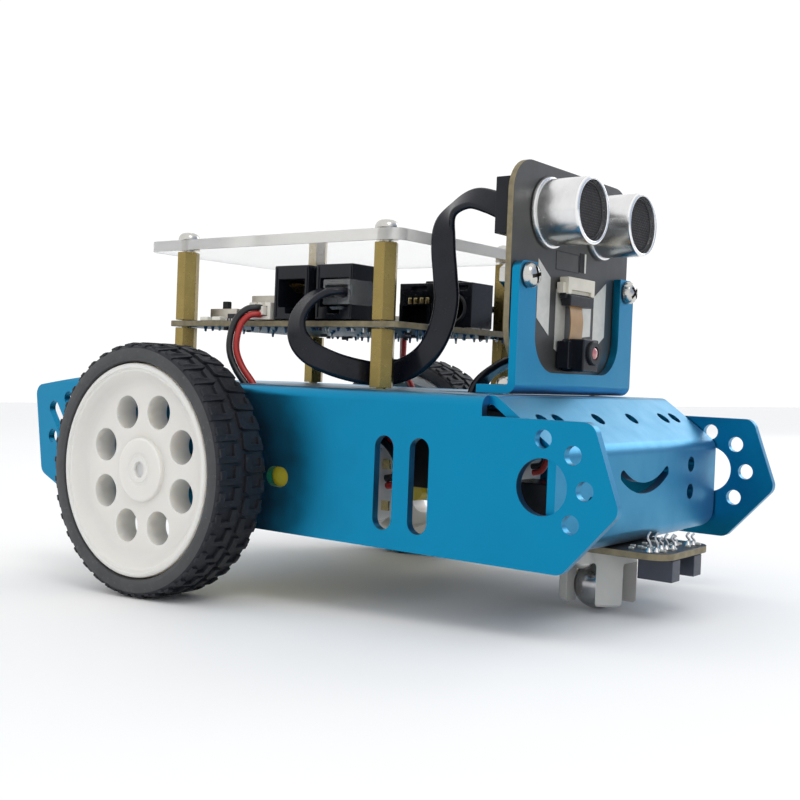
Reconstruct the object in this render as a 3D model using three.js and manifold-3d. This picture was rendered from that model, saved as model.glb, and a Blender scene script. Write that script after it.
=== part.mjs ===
// A two-wheel-drive robot car: a folded aluminium chassis on two geared motors and a ball caster,
// with a controller board on brass standoffs and a distance-sensor head on a bracket.
// Millimetres. +X forward, +Y left, +Z up, origin on the floor under the middle of the car.
// The body is drawn level, with x measured from the wheel axle, and then leans nose-down
// until the caster ball meets the floor.
import * as THREE from 'three';
import { mergeVertices } from 'three/addons/utils/BufferGeometryUtils.js';
import Module from 'manifold-3d';

const wasm = await Module();
wasm.setup();

// Driving dimensions
const GAP = 0.3; // between pieces that touch
const TYRE_RADIUS = 32.5;
const TYRE_WIDTH = 16.3;
const TYRE_FACE_Y = 64; // outer face, from the middle plane
const RIM_RADIUS = 27.2;
const HUB_RADIUS = 7.8;
const HUB_FACE_Y = 61.2;
const WEB_Y = [53.6, 60]; // the wheel's pierced web
const SHAFT_RADIUS = 2.7;
const SHEET = 2; // chassis and bracket metal
const HALF_WIDTH = 46; // chassis
const DECK_Z = 55.5; // top of the deck
const BOTTOM_Z = 19.3; // lower edge of the side plates
const FOLD_RADIUS = 2.5;
const DECK_FRONT_X = 93.2; // where the deck's side folds end
const NOSE_X = 110.4; // the flat nose panel
const NOSE_HALF_WIDTH = 43.4;
const LIP_Z = 21.5; // underside of the lip that carries the caster
const LIP_HALF_WIDTH = 27;
const PCB = 1.6;
const BOARD_Z = 70.7; // underside of the controller board
const BOARD_HALF_WIDTH = 31.4;
const BOARD_BACK_X = -25;
const BOARD_FRONT_X = 57.5;
const COVER_Z = 92.3;
const COVER_THICKNESS = 3;
const COVER_BACK_X = -35;
const POST_ACROSS = 5.5; // hex standoffs, across flats
const POST_X = [-21.1, 51.2];
const POST_Y = 27.9;
const STUD_RADIUS = 1.35;
const TAPPED_RADIUS = 1.7;
const BRACKET_X = 91.1; // front face of the sensor bracket
const BRACKET_HALF_WIDTH = 29.4;
const BRACKET_TOP = 86.5;
const BRACKET_SCREW = [25.4, 83.2]; // y and z
const FLANGE_SCREW = [84.5, 22]; // x and y, through the bracket's foot
const SENSOR_BOARD_X = 88.8; // front face of the sensor board
const TRANSDUCER_RADIUS = 8;
const TRANSDUCER_Y = 13.3;
const TRANSDUCER_Z = 99.2;
const TRANSDUCER_FACE_X = 100.9;
const BALL_RADIUS = 6;
const BALL_X = 99;
const BALL_Z = 10; // ball's centre before the car leans
const CASTER_RADIUS = 9.3;
const CASTER_SCREW_Y = 9;
const LINE_BOARD_TOP = 21.2;
const LINE_BOARD_HALF_WIDTH = 13.6;
const GEARBOX_HALF_HEIGHT = 11.2;
const GEARBOX_OUTER_Y = 43.7;
const GEARBOX_WIDTH = 18.5;
const MOTOR_BOLT_X = 20.2;
const MOTOR_BOLT_RISE = 8.75; // above and below the axle
const MOTOR_Y = GEARBOX_OUTER_Y - 9.2;
const CENTRE_X = 30.33; // middle of the leaning car, ahead of the axle
const CABLE_RADIUS = 2;
const LEAD_RADIUS = 1.6; // twin lead

// The lean that sets the ball on the floor
const ballDrop = TYRE_RADIUS - BALL_Z;
const LEAN = Math.asin((TYRE_RADIUS - BALL_RADIUS) / Math.hypot(BALL_X, ballDrop))
  - Math.atan2(ballDrop, BALL_X);

// Materials
const paint = (color, roughness, metalness) => ({ color, roughness, metalness });
const BLUE = paint(0x1283b4, 0.35, 0.7);
const BRASS = paint(0xa8924e, 0.35, 0.9);
const STEEL = paint(0xc4c6c8, 0.25, 1);
const ALUMINIUM = paint(0xd0d2d4, 0.3, 1);
const BLACK = paint(0x14171d, 0.35, 0);
const BOARD = paint(0x2b2c2e, 0.5, 0);
const TIN = paint(0xb9b8b2, 0.35, 0.9);
const RUBBER = paint(0x26282c, 0.85, 0);
const WHITE = paint(0xe4e2dc, 0.45, 0);
const YELLOW = paint(0xd2b51c, 0.5, 0);
const GREY = paint(0xbdbdb8, 0.5, 0);
const MESH = paint(0x35373a, 0.7, 0.3);
const CLEAR = paint(0xeef0f0, 0.08, 0);
const IVORY = paint(0xd8d0be, 0.5, 0);
const RED = paint(0xb5322c, 0.5, 0);

// Solids
function toSolid(geometry) {
  geometry.deleteAttribute('normal');
  geometry.deleteAttribute('uv');
  const merged = mergeVertices(geometry, 1e-4);
  const points = merged.attributes.position.array;
  const corners = [];
  let volume = 0;
  const a = new THREE.Vector3();
  const b = new THREE.Vector3();
  const c = new THREE.Vector3();
  for (let i = 0; i < merged.index.count; i += 3) {
    const [p, q, r] = [0, 1, 2].map((k) => merged.index.getX(i + k));
    if (p === q || q === r || r === p) continue;
    a.fromArray(points, 3 * p);
    b.fromArray(points, 3 * q);
    c.fromArray(points, 3 * r);
    volume += a.dot(b.cross(c));
    corners.push(p, q, r);
  }
  const triVerts = Uint32Array.from(volume < 0 ? corners.reverse() : corners);
  return new wasm.Manifold(new wasm.Mesh({ numProp: 3, vertProperties: points, triVerts }));
}

function toGeometry(solid) {
  const mesh = solid.getMesh();
  const geometry = new THREE.BufferGeometry();
  geometry.setAttribute('position', new THREE.BufferAttribute(mesh.vertProperties, 3));
  geometry.setIndex(new THREE.BufferAttribute(mesh.triVerts, 1));
  geometry.computeVertexNormals();
  return geometry;
}

function box([x0, x1], [y0, y1], [z0, z1]) {
  const geometry = new THREE.BoxGeometry(x1 - x0, y1 - y0, z1 - z0);
  return toSolid(geometry.translate((x0 + x1) / 2, (y0 + y1) / 2, (z0 + z1) / 2));
}

function rod(radius, from, to, sides = 10) {
  const start = new THREE.Vector3(...from);
  const span = new THREE.Vector3(...to).sub(start);
  const geometry = new THREE.CylinderGeometry(radius, radius, span.length(), sides);
  const up = new THREE.Vector3(0, 1, 0);
  const turn = new THREE.Quaternion().setFromUnitVectors(up, span.clone().normalize());
  geometry.applyQuaternion(turn);
  const middle = start.addScaledVector(span, 0.5);
  return toSolid(geometry.translate(middle.x, middle.y, middle.z));
}

function hexPost(across, [x, y], [z0, z1]) {
  return rod(across / Math.sqrt(3), [x, y, z0], [x, y, z1], 6);
}

function lathe(profile, segments) {
  const points = profile.map(([radius, along]) => new THREE.Vector2(radius, along));
  return new THREE.LatheGeometry(points, segments);
}

// A closed outline whose corners are [x, y, radius]
function outline(corners) {
  const shape = new THREE.Shape();
  corners.forEach(([x, y, radius = 0], i) => {
    const [px, py] = corners.at(i - 1);
    const [nx, ny] = corners[(i + 1) % corners.length];
    const back = Math.hypot(px - x, py - y);
    const ahead = Math.hypot(nx - x, ny - y);
    const turn = Math.acos(((px - x) * (nx - x) + (py - y) * (ny - y)) / (back * ahead));
    const inset = radius / Math.tan(turn / 2);
    const from = [x + (px - x) * inset / back, y + (py - y) * inset / back];
    const to = [x + (nx - x) * inset / ahead, y + (ny - y) * inset / ahead];
    if (i === 0) shape.moveTo(...from);
    else shape.lineTo(...from);
    if (radius > 0) shape.quadraticCurveTo(x, y, ...to);
  });
  shape.closePath();
  return shape;
}

const rectangle = ([x0, x1], [y0, y1], radius) =>
  outline([[x0, y0, radius], [x1, y0, radius], [x1, y1, radius], [x0, y1, radius]]);

function extrude(shape, depth, curveSegments = 3) {
  return new THREE.ExtrudeGeometry(shape, { depth, bevelEnabled: false, curveSegments });
}

// A shape drawn in x and z, extruded along y
function alongY(shape, [y0, y1]) {
  return toSolid(extrude(shape, y1 - y0).rotateX(Math.PI / 2).translate(0, y1, 0));
}

// A shape drawn in y and z, extruded along x
function alongX(shape, [x0, x1]) {
  const turn = new THREE.Matrix4().set(0, 0, 1, x0, 1, 0, 0, 0, 0, 1, 0, 0, 0, 0, 0, 1);
  return toSolid(extrude(shape, x1 - x0).applyMatrix4(turn));
}

// A shape drawn in x and y, extruded along z
const alongZ = (shape, [z0, z1]) => toSolid(extrude(shape, z1 - z0).translate(0, 0, z0));

const both = (half, place) => [place(-half), place(half)];
const mirrored = (solid) => solid.mirror([0, 1, 0]);
const joined = (solids) => solids.reduce((whole, solid) => whole.add(solid));
const drilled = (solid, tools) => tools.reduce((left, tool) => left.subtract(tool), solid);

// Groups: the level one holds what rolls, the leaning one holds the body
const robot = new THREE.Group();
const leaning = new THREE.Group();
robot.position.set(-CENTRE_X, 0, TYRE_RADIUS);
leaning.rotation.y = LEAN;
robot.add(leaning);

function addPiece(group, name, solid, look) {
  const mesh = new THREE.Mesh(toGeometry(solid), new THREE.MeshStandardMaterial(look));
  mesh.name = name;
  group.add(mesh);
  return mesh;
}

// The body is drawn with z from the floor, so its group takes it down to the axle
function bodyPiece(name, solid, look) {
  addPiece(leaning, name, solid, look).position.z = -TYRE_RADIUS;
}

const rollingPiece = (name, solid, look) => addPiece(robot, name, solid, look);

// Chassis: deck and sides in one fold, ears ahead of it, and a tongue that folds down to the nose
function sideOutline() {
  return outline([
    [-43, DECK_Z, 3], [-66.4, 51.9, 3], [-62.4, 26.4, 3], [-46, BOTTOM_Z, 2],
    [113.7, BOTTOM_Z, 3], [126.4, 33.2, 3], [119.9, 51, 3], [DECK_FRONT_X, 51, 0.6], [DECK_FRONT_X, DECK_Z],
  ]);
}

function deckAndSides() {
  const inner = HALF_WIDTH - SHEET;
  const low = BOTTOM_Z - 5;
  const section = outline([
    [-HALF_WIDTH, low], [-inner, low], [-inner, DECK_Z - SHEET, 0.6],
    [inner, DECK_Z - SHEET, 0.6], [inner, low], [HALF_WIDTH, low],
    [HALF_WIDTH, DECK_Z, FOLD_RADIUS], [-HALF_WIDTH, DECK_Z, FOLD_RADIUS],
  ]);
  const channel = alongX(section, [-70, DECK_FRONT_X]);
  const trimmed = channel.intersect(alongY(sideOutline(), [-50, 50]));
  return trimmed.subtract(box([-70, -43], [-inner, inner], [45, 60]));
}

function ears() {
  const ahead = box([DECK_FRONT_X - 1, 130], [-50, 50], [15, 51]);
  const plate = alongY(sideOutline(), [HALF_WIDTH - SHEET, HALF_WIDTH]).intersect(ahead);
  return joined([plate, mirrored(plate)]);
}

function tongue() {
  const back = NOSE_X - SHEET;
  const profile = outline([
    [90, DECK_Z], [90, DECK_Z - SHEET], [94.3, DECK_Z - SHEET, 1], [back, 43.4, 2],
    [back, LIP_Z + SHEET, 1.4], [89.5, LIP_Z + SHEET], [89.5, LIP_Z], [NOSE_X, LIP_Z, 3.4],
    [NOSE_X, 44.4, 4], [95, DECK_Z, 3],
  ]);
  const panel = rectangle([-NOSE_HALF_WIDTH, NOSE_HALF_WIDTH], [LIP_Z + 0.7, 65], 5);
  const lip = box([85, 115], [-LIP_HALF_WIDTH, LIP_HALF_WIDTH], [15, 30]);
  const keep = alongX(panel, [85, 115]).add(lip);
  const strip = alongY(profile, [-NOSE_HALF_WIDTH, NOSE_HALF_WIDTH]).intersect(keep);
  const outer = box([88, back], [LIP_HALF_WIDTH, 50], [15, 26]);
  return drilled(strip, [outer, mirrored(outer)]);
}

// A slot of even width along an arc, with round ends, cut through the nose panel
function arcSlot() {
  const radius = 22.5;
  const width = 2.6;
  const spread = 0.56;
  const centreZ = 57;
  const down = -Math.PI / 2;
  const shape = new THREE.Shape();
  const [first, last] = [down - spread, down + spread];
  const end = (angle) => [radius * Math.cos(angle), centreZ + radius * Math.sin(angle)];
  shape.absarc(0, centreZ, radius + width / 2, first, last, false);
  shape.absarc(...end(last), width / 2, last, last + Math.PI, false);
  shape.absarc(0, centreZ, radius - width / 2, last, first, true);
  shape.absarc(...end(first), width / 2, first + Math.PI, first + 2 * Math.PI, false);
  const turn = new THREE.Matrix4().set(0, 0, 1, 106, 1, 0, 0, 0, 0, 1, 0, 0, 0, 0, 0, 1);
  return toSolid(extrude(shape, 8, 6).applyMatrix4(turn));
}

// A round-ended slot through the side plates, drawn in x and z
function sideSlot([x0, z0], [x1, z1], width) {
  const length = Math.hypot(x1 - x0, z1 - z0);
  const shape = new THREE.Shape();
  shape.absarc(length, 0, width / 2, -Math.PI / 2, Math.PI / 2, false);
  shape.absarc(0, 0, width / 2, Math.PI / 2, 3 * Math.PI / 2, false);
  const angle = Math.atan2(z1 - z0, x1 - x0);
  const geometry = extrude(shape, 100, 4).rotateZ(angle).translate(x0, z0, 0);
  return toSolid(geometry.rotateX(Math.PI / 2).translate(0, 50, 0));
}

function sideHoles() {
  const hole = (radius, x, z, sides) => rod(radius, [x, -50, z], [x, 50, z], sides);
  const [earX, earZ] = [108.5, 37.05];
  const earHoles = [90, 45, 0, -45].map((degrees) => {
    const angle = THREE.MathUtils.degToRad(degrees);
    return hole(2, earX + 10 * Math.cos(angle), earZ + 10 * Math.sin(angle));
  });
  const windows = [67, 77].map((x) => sideSlot([x, 26.2], [x, 42.5], 5.4));
  const motorBolts = both(MOTOR_BOLT_RISE, (up) =>
    hole(TAPPED_RADIUS, MOTOR_BOLT_X, TYRE_RADIUS + up, 8));
  return [
    ...earHoles, ...windows, ...motorBolts,
    hole(6, earX, earZ, 20),
    hole(4.5, 0, TYRE_RADIUS, 12),
    hole(2, -50.4, 48.7),
    hole(2, -57.4, 37.3),
    sideSlot([-57.2, 45.6], [-49.5, 35.2], 4.2),
    sideSlot([32.8, 32.9], [35, 32.9], 5),
  ];
}

function frontHoles() {
  const slope = new THREE.Vector2(NOSE_X - 95, 44.4 - DECK_Z).normalize();
  const at = new THREE.Vector2(95, DECK_Z).addScaledVector(slope, 8.5);
  const below = [at.x + 3 * slope.y, at.y - 3 * slope.x];
  const above = [at.x - 2 * slope.y, at.y + 2 * slope.x];
  const slopeHole = (y) => rod(2, [below[0], y, below[1]], [above[0], y, above[1]]);
  const noseHole = (y, z) => rod(2, [105, y, z], [112, y, z]);
  return [-34.8, -27.9, -9, 9, 27.9, 34.8].map(slopeHole)
    .concat(both(27.1, (y) => noseHole(y, 39.1)), both(27.1, (y) => noseHole(y, 32.1)));
}

function deckHoles() {
  const hole = (radius, x, y) => rod(radius, [x, y, 50], [x, y, 58], 8);
  const posts = POST_X.flatMap((x) => both(POST_Y, (y) => hole(TAPPED_RADIUS, x, y)));
  const flange = both(FLANGE_SCREW[1], (y) => hole(TAPPED_RADIUS, FLANGE_SCREW[0], y));
  const leads = both(36, (y) => alongZ(rectangle([8, 19], [y - 3, y + 3], 2.9), [50, 58]));
  const cableWindow = alongZ(rectangle([60, 76], [-18, 2], 3), [50, 58]);
  return [...posts, ...flange, ...leads, cableWindow];
}

function chassis() {
  const sides = drilled(deckAndSides().add(ears()), sideHoles());
  const nose = drilled(tongue(), [...frontHoles(), ...casterHoles(18, 26), arcSlot()]);
  return drilled(sides.add(nose), deckHoles());
}

// The caster's two screw holes, through whatever stands between two heights
const casterHoles = (z0, z1) => both(CASTER_SCREW_Y, (y) =>
  rod(TAPPED_RADIUS, [BALL_X, y, z0], [BALL_X, y, z1], 12));

// The two screw holes that the bracket's arms share with the sensor board
function bracketHoles() {
  const [screwY, z] = BRACKET_SCREW;
  return both(screwY, (y) => rod(TAPPED_RADIUS, [80, y, z], [95, y, z], 12));
}

// Sensor bracket: an upright fork folded back onto the deck
function sensorBracket() {
  const half = BRACKET_HALF_WIDTH;
  const foot = DECK_Z + GAP;
  const back = BRACKET_X - SHEET;
  const fold = outline([
    [80.5, foot], [BRACKET_X, foot, 2.6], [BRACKET_X, BRACKET_TOP], [back, BRACKET_TOP],
    [back, foot + SHEET, 0.8], [80.5, foot + SHEET],
  ]);
  const front = rectangle([-half, half], [50, BRACKET_TOP], 2.5);
  const mouth = outline([[-21.5, 90], [-21.5, 61, 9], [21.5, 61, 9], [21.5, 90]]);
  const body = alongY(fold, [-half, half]).intersect(alongX(front, [75, 95]));
  const [footX, footY] = FLANGE_SCREW;
  const footHoles = both(footY, (y) => rod(TAPPED_RADIUS, [footX, y, 54], [footX, y, 60], 12));
  return drilled(body, [alongX(mouth, [87, 94]), ...bracketHoles(), ...footHoles]);
}

// Distance sensor board and what it carries
function sensorBoard() {
  const shape = outline([[-29.5, 60, 12], [29.5, 60, 12], [29.5, 110.5, 8], [-29.5, 110.5, 8]]);
  return drilled(alongX(shape, [SENSOR_BOARD_X - PCB, SENSOR_BOARD_X]), bracketHoles());
}

// Round pieces that stand out of the sensor board are lathed up +Y and then turned to face +X
function facingX(profile, y, z, segments) {
  return toSolid(lathe(profile, segments).rotateZ(-Math.PI / 2).translate(0, y, z));
}

function transducer(y) {
  const back = SENSOR_BOARD_X + GAP;
  const face = TRANSDUCER_FACE_X;
  const outer = TRANSDUCER_RADIUS;
  const rim = outer - 0.9;
  return facingX([
    [0, back], [outer + 0.6, back], [outer + 0.6, back + 0.9], [outer, back + 0.9], [outer, face - 0.4],
    [outer - 0.4, face], [rim, face], [rim, face - 2.4], [0, face - 2.4],
  ], y, TRANSDUCER_Z, 28);
}

function grille(y) {
  const [back, front] = [TRANSDUCER_FACE_X - 2.1, TRANSDUCER_FACE_X - 1.2];
  return rod(6.8, [back, y, TRANSDUCER_Z], [front, y, TRANSDUCER_Z], 20);
}

function sensorHead() {
  const front = SENSOR_BOARD_X + GAP;
  bodyPiece('sensor_bracket', sensorBracket(), BLUE);
  bodyPiece('sensor_board', sensorBoard(), BOARD);
  for (const [side, sign] of [['right', -1], ['left', 1]]) {
    bodyPiece(`transducer_${side}`, transducer(sign * TRANSDUCER_Y), ALUMINIUM);
    bodyPiece(`transducer_grille_${side}`, grille(sign * TRANSDUCER_Y), MESH);
    bodyPiece(`bracket_screw_${side}`, bracketScrew(sign * BRACKET_SCREW[0]), STEEL);
  }
  bodyPiece('ribbon_connector', box([front, front + 2.6], [-7, 6.6], [78.8, 84.6]), IVORY);
  bodyPiece('camera_module', box([front, front + 6.2], [-5.2, 2.6], [61.6, 69.6]), BLACK);
  const back = SENSOR_BOARD_X - PCB - GAP;
  const socket = box([back - 4, back], [-28, -14], [92.8, 106]);
  const mouth = box([75, back - 1.4], [-25.5, -18.5], [96, 103.2]);
  bodyPiece('sensor_socket', socket.subtract(mouth), BLACK);
}

function bracketScrew(y) {
  const z = BRACKET_SCREW[1];
  const head = facingX([
    [0, BRACKET_X + GAP], [2.9, BRACKET_X + GAP], [2.6, BRACKET_X + 1.3], [1.6, BRACKET_X + 2.1],
    [0, BRACKET_X + 2.3],
  ], y, z, 12);
  return head.add(rod(STUD_RADIUS, [84.2, y, z], [BRACKET_X + 1, y, z], 12));
}

// Standoffs: each stud goes down through a sheet or board into what is below
function standoff([x, y], [z0, z1], stud) {
  const thread = rod(STUD_RADIUS, [x, y, z0 - stud], [x, y, z0 + 1], 8);
  const bore = rod(TAPPED_RADIUS, [x, y, z1 - 8], [x, y, z1 + 1], 8);
  return hexPost(POST_ACROSS, [x, y], [z0, z1]).add(thread).subtract(bore);
}

function panScrew([x, y], z, shank) {
  const dome = lathe([[0, 0], [2.9, 0], [2.6, 1.1], [1.6, 1.8], [0, 2]], 12);
  const head = toSolid(dome.rotateX(Math.PI / 2)).translate(x, y, z);
  return head.add(rod(STUD_RADIUS, [x, y, z - shank], [x, y, z + 0.8], 8));
}

function boardStack() {
  const [rear, front] = POST_X;
  const spots = [
    { label: 'rear_right', at: [rear, -POST_Y] },
    { label: 'rear_left', at: [rear, POST_Y] },
    { label: 'front_right', at: [front, -POST_Y] },
    { label: 'front_left', at: [front, POST_Y] },
  ];
  const boardTop = BOARD_Z + PCB;
  for (const { at, label } of spots) {
    const screw = panScrew(at, COVER_Z + COVER_THICKNESS + GAP, 9);
    bodyPiece(`lower_standoff_${label}`, standoff(at, [DECK_Z + GAP, BOARD_Z - GAP], 5), BRASS);
    bodyPiece(`upper_standoff_${label}`, standoff(at, [boardTop + GAP, COVER_Z - GAP], 6), BRASS);
    bodyPiece(`cover_screw_${label}`, screw, STEEL);
  }
  const through = (z0, z1) =>
    spots.map(({ at: [x, y] }) => rod(TAPPED_RADIUS, [x, y, z0], [x, y, z1], 8));
  const across = [-BOARD_HALF_WIDTH, BOARD_HALF_WIDTH];
  const board = alongZ(rectangle([BOARD_BACK_X, BOARD_FRONT_X], across, 2), [BOARD_Z, boardTop]);
  bodyPiece('controller_board', drilled(board, through(60, 80)), BOARD);
  const coverShape = rectangle([COVER_BACK_X, BOARD_FRONT_X], across, 4);
  const cover = alongZ(coverShape, [COVER_Z, COVER_Z + COVER_THICKNESS]);
  bodyPiece('cover_plate', drilled(cover, through(85, 100)), CLEAR);
}

// Sockets and switches on the controller board
function sideSocket([x0, x1]) {
  const edge = -BOARD_HALF_WIDTH;
  const z = BOARD_Z + PCB + GAP;
  const mouth = box([x0 + 1.6, x1 - 1.6], [edge - 1, edge + 10], [z + 3.4, z + 10.4]);
  return box([x0, x1], [edge, edge + 15], [z, 86.8]).subtract(mouth);
}

// The data socket and the power jack stand side by side and face the right side
function boardSockets() {
  const z = BOARD_Z + PCB + GAP;
  const [front, rear] = [[31.3, 43.5], [16.6, 28.7]];
  bodyPiece('side_socket_rear', sideSocket(rear), BLACK);
  bodyPiece('side_socket_front', sideSocket(front), BLACK);
  bodyPiece('side_socket_left', mirrored(sideSocket(front)), BLACK);
  const depth = [1.8, 12.2];
  const tall = [z, z + 12.1];
  const dataMouth = box([35, 43.6], [0, 10], [z + 1, z + 5.9]);
  bodyPiece('front_socket', box([33.3, 45.3], depth, tall).subtract(dataMouth), BLACK);
  const [jackX, jackZ] = [51.8, z + 5.1];
  const jackBore = rod(3.3, [jackX, 0, jackZ], [jackX, 10, jackZ], 20);
  bodyPiece('power_jack', box([45.7, BOARD_FRONT_X], depth, tall).subtract(jackBore), BLACK);
  const usbMouth = box([-8, 8], [-15.2, -2.8], [z + 1.2, z + 6.8]);
  bodyPiece('usb_socket', box([-7, 12], [-16, -2], [z, z + 7.8]).subtract(usbMouth), TIN);
}

function motorConnector() {
  const z = BOARD_Z + PCB + GAP;
  return box([7.5, 15.4], [-BOARD_HALF_WIDTH, -BOARD_HALF_WIDTH + 6.5], [z, z + 4.6]);
}

function switches() {
  const z = BOARD_Z + PCB + GAP;
  const body = box([-16.4, -5.6], [-23.2, -18.4], [z, z + 3.6]);
  const leverSlot = box([-13.4, -8.6], [-21.9, -19.7], [z + 1.2, z + 5]);
  bodyPiece('power_switch', body.subtract(leverSlot), TIN);
  const lever = box([-13.1, -10.9], [-21.6, -20], [z + 1.5, z + 5.8]);
  bodyPiece('power_switch_lever', lever, BLACK);
  const buttonBody = box([-18, -12], [9, 15], [z, z + 3.4]);
  const buttonWell = rod(2.05, [-15, 12, z + 1.4], [-15, 12, z + 5], 20);
  bodyPiece('reset_button', buttonBody.subtract(buttonWell), TIN);
  bodyPiece('reset_button_cap', rod(1.75, [-15, 12, z + 2.2], [-15, 12, z + 4.4], 16), BLACK);
}

// Line-following sensor under the nose lip
function lineSensor() {
  const low = LINE_BOARD_TOP - PCB;
  const half = LINE_BOARD_HALF_WIDTH;
  const shape = outline([[75.2, -half, 2], [122.4, -half, 5], [122.4, half, 5], [75.2, half, 2]]);
  bodyPiece('line_board', drilled(alongZ(shape, [low, LINE_BOARD_TOP]), casterHoles(15, 25)), BOARD);
  for (const [side, y] of [['right', -6.2], ['left', 6.2]]) {
    const block = box([113.2, 121.8], [y - 2.2, y + 2.2], [14.3, low - GAP]);
    bodyPiece(`line_sensor_${side}`, block, BLACK);
  }
  const top = LINE_BOARD_TOP + GAP;
  const socket = box([75.8, 89], [-6.4, 6.4], [top, top + 12]);
  bodyPiece('line_socket', socket.subtract(box([74, 86], [-4.8, 4.8], [top + 3, top + 9.6])), BLACK);
}

// Ball caster: four fingers round a steel ball
function casterHousing() {
  const top = LINE_BOARD_TOP - PCB - GAP;
  const ledge = 16.4;
  const slotWidth = 7.6;
  const cup = rod(CASTER_RADIUS, [BALL_X, 0, 6], [BALL_X, 0, top], 28);
  const alongSlot = box([BALL_X - 20, BALL_X + 20], [-slotWidth / 2, slotWidth / 2], [2, ledge]);
  const acrossSlot = box([BALL_X - slotWidth / 2, BALL_X + slotWidth / 2], [-20, 20], [2, ledge]);
  const socket = new THREE.SphereGeometry(BALL_RADIUS + GAP, 16, 12).translate(BALL_X, 0, BALL_Z);
  const ears = both(CASTER_SCREW_Y, (y) => rod(3.4, [BALL_X, y, ledge], [BALL_X, y, top], 16));
  const body = drilled(cup, [alongSlot, acrossSlot, toSolid(socket)]);
  return drilled(joined([body, ...ears]), casterHoles(2, 25));
}

function caster() {
  bodyPiece('caster_housing', casterHousing(), GREY);
  const ball = toSolid(new THREE.SphereGeometry(BALL_RADIUS, 20, 12).rotateX(Math.PI / 2));
  const reach = Math.hypot(BALL_X, ballDrop);
  const below = Math.atan2(ballDrop, BALL_X) + LEAN;
  const centre = [reach * Math.cos(below), 0, -reach * Math.sin(below)];
  rollingPiece('caster_ball', ball.translate(...centre), STEEL);
}

// Wheels, drawn on the left side: lathed up +Y about the axle
function tyre() {
  const inner = TYRE_FACE_Y - TYRE_WIDTH;
  const seat = RIM_RADIUS + GAP;
  return toSolid(lathe([
    [seat, inner], [31.2, inner], [TYRE_RADIUS, inner + 1.6], [TYRE_RADIUS, TYRE_FACE_Y - 1.6],
    [31.2, TYRE_FACE_Y], [seat, TYRE_FACE_Y], [seat, inner],
  ], 48));
}

function rim() {
  const inner = TYRE_FACE_Y - TYRE_WIDTH + 0.5;
  const face = TYRE_FACE_Y - GAP;
  const [webBack, webFront] = WEB_Y;
  const hubBack = 50;
  const wheel = toSolid(lathe([
    [0, hubBack], [HUB_RADIUS - 1, hubBack], [HUB_RADIUS, webBack], [23.4, webBack], [24.2, inner],
    [RIM_RADIUS, inner], [RIM_RADIUS, face], [24.6, face], [23.5, webFront],
    [HUB_RADIUS + 0.4, webFront], [HUB_RADIUS, HUB_FACE_Y], [0, HUB_FACE_Y],
  ], 36));
  const holes = [...Array(8).keys()].map((i) => {
    const angle = (i + 0.5) * Math.PI / 4;
    const [x, z] = [15.8 * Math.cos(angle), 15.8 * Math.sin(angle)];
    return rod(4.3, [x, hubBack - 1, z], [x, TYRE_FACE_Y, z], 14);
  });
  const bore = rod(SHAFT_RADIUS + GAP, [0, 45, 0], [0, 59.6, 0], 12);
  const recess = rod(2.1, [0, 60.2, 0], [0, TYRE_FACE_Y, 0]);
  return drilled(wheel, [...holes, bore, recess]);
}

// Geared motor: output shaft and gear turn with the wheel
function outputShaft() {
  const teeth = 26;
  const shape = new THREE.Shape();
  const ring = [8.1, 8.1, 9.1, 9.1];
  for (let i = 0; i < 4 * teeth; i += 1) {
    const angle = (i + 0.5) * Math.PI / (2 * teeth);
    const radius = ring[i % 4];
    if (i === 0) shape.moveTo(radius * Math.cos(angle), radius * Math.sin(angle));
    else shape.lineTo(radius * Math.cos(angle), radius * Math.sin(angle));
  }
  return alongY(shape, [29, 32]).add(rod(SHAFT_RADIUS, [0, 27.4, 0], [0, 59.2, 0], 12));
}

function gearbox() {
  const inner = GEARBOX_OUTER_Y - GEARBOX_WIDTH;
  const half = GEARBOX_HALF_HEIGHT;
  const z = TYRE_RADIUS;
  const side = rectangle([-11.2, 26.6], [z - half, z + half], 3);
  const neck = rectangle([inner + 0.6, GEARBOX_OUTER_Y - 0.6], [z - half + 0.6, z + half - 0.6], 7);
  const outer = alongY(side, [inner, GEARBOX_OUTER_Y]).add(alongX(neck, [20, 38]));
  const hollow = rectangle([-9.7, 25], [z - half + 1.5, z + half - 1.5], 2);
  const throat = rod(3.4, [22, MOTOR_Y, z], [40, MOTOR_Y, z], 16);
  const alongBolts = (radius) => both(MOTOR_BOLT_RISE, (up) =>
    rod(radius, [MOTOR_BOLT_X, 20, z + up], [MOTOR_BOLT_X, 50, z + up], 12));
  const cavity = drilled(alongY(hollow, [inner + 1.5, GEARBOX_OUTER_Y - 1.5]), alongBolts(3.1));
  const shaftHole = rod(SHAFT_RADIUS + GAP, [0, 35, z], [0, 50, z], 12);
  return drilled(outer, [cavity, throat, shaftHole, ...alongBolts(TAPPED_RADIUS)]);
}

// The motor's can has two flats, and a plain nose and cap
function motor() {
  const y = MOTOR_Y;
  const z = TYRE_RADIUS;
  const flats = (half) => box([30, 70], [y - half, y + half], [z - 12, z + 12]);
  const can = rod(10, [38 + GAP, y, z], [56, y, z], 20).intersect(flats(7.7));
  const cap = rod(8.6, [55, y, z], [58, y, z], 16).intersect(flats(6.8));
  const spindle = rod(1, [27, y, z], [40, y, z], 10);
  return joined([can, cap, spindle]);
}

function drive() {
  for (const [side, flip] of [['right', mirrored], ['left', (solid) => solid]]) {
    rollingPiece(`tyre_${side}`, flip(tyre()), RUBBER);
    rollingPiece(`rim_${side}`, flip(rim()), WHITE);
    rollingPiece(`output_shaft_${side}`, flip(outputShaft()), WHITE);
    bodyPiece(`gearbox_${side}`, flip(gearbox()), YELLOW);
    bodyPiece(`motor_${side}`, flip(motor()), STEEL);
    bodyPiece(`motor_connector_${side}`, flip(mirrored(motorConnector())), WHITE);
  }
}

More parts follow.
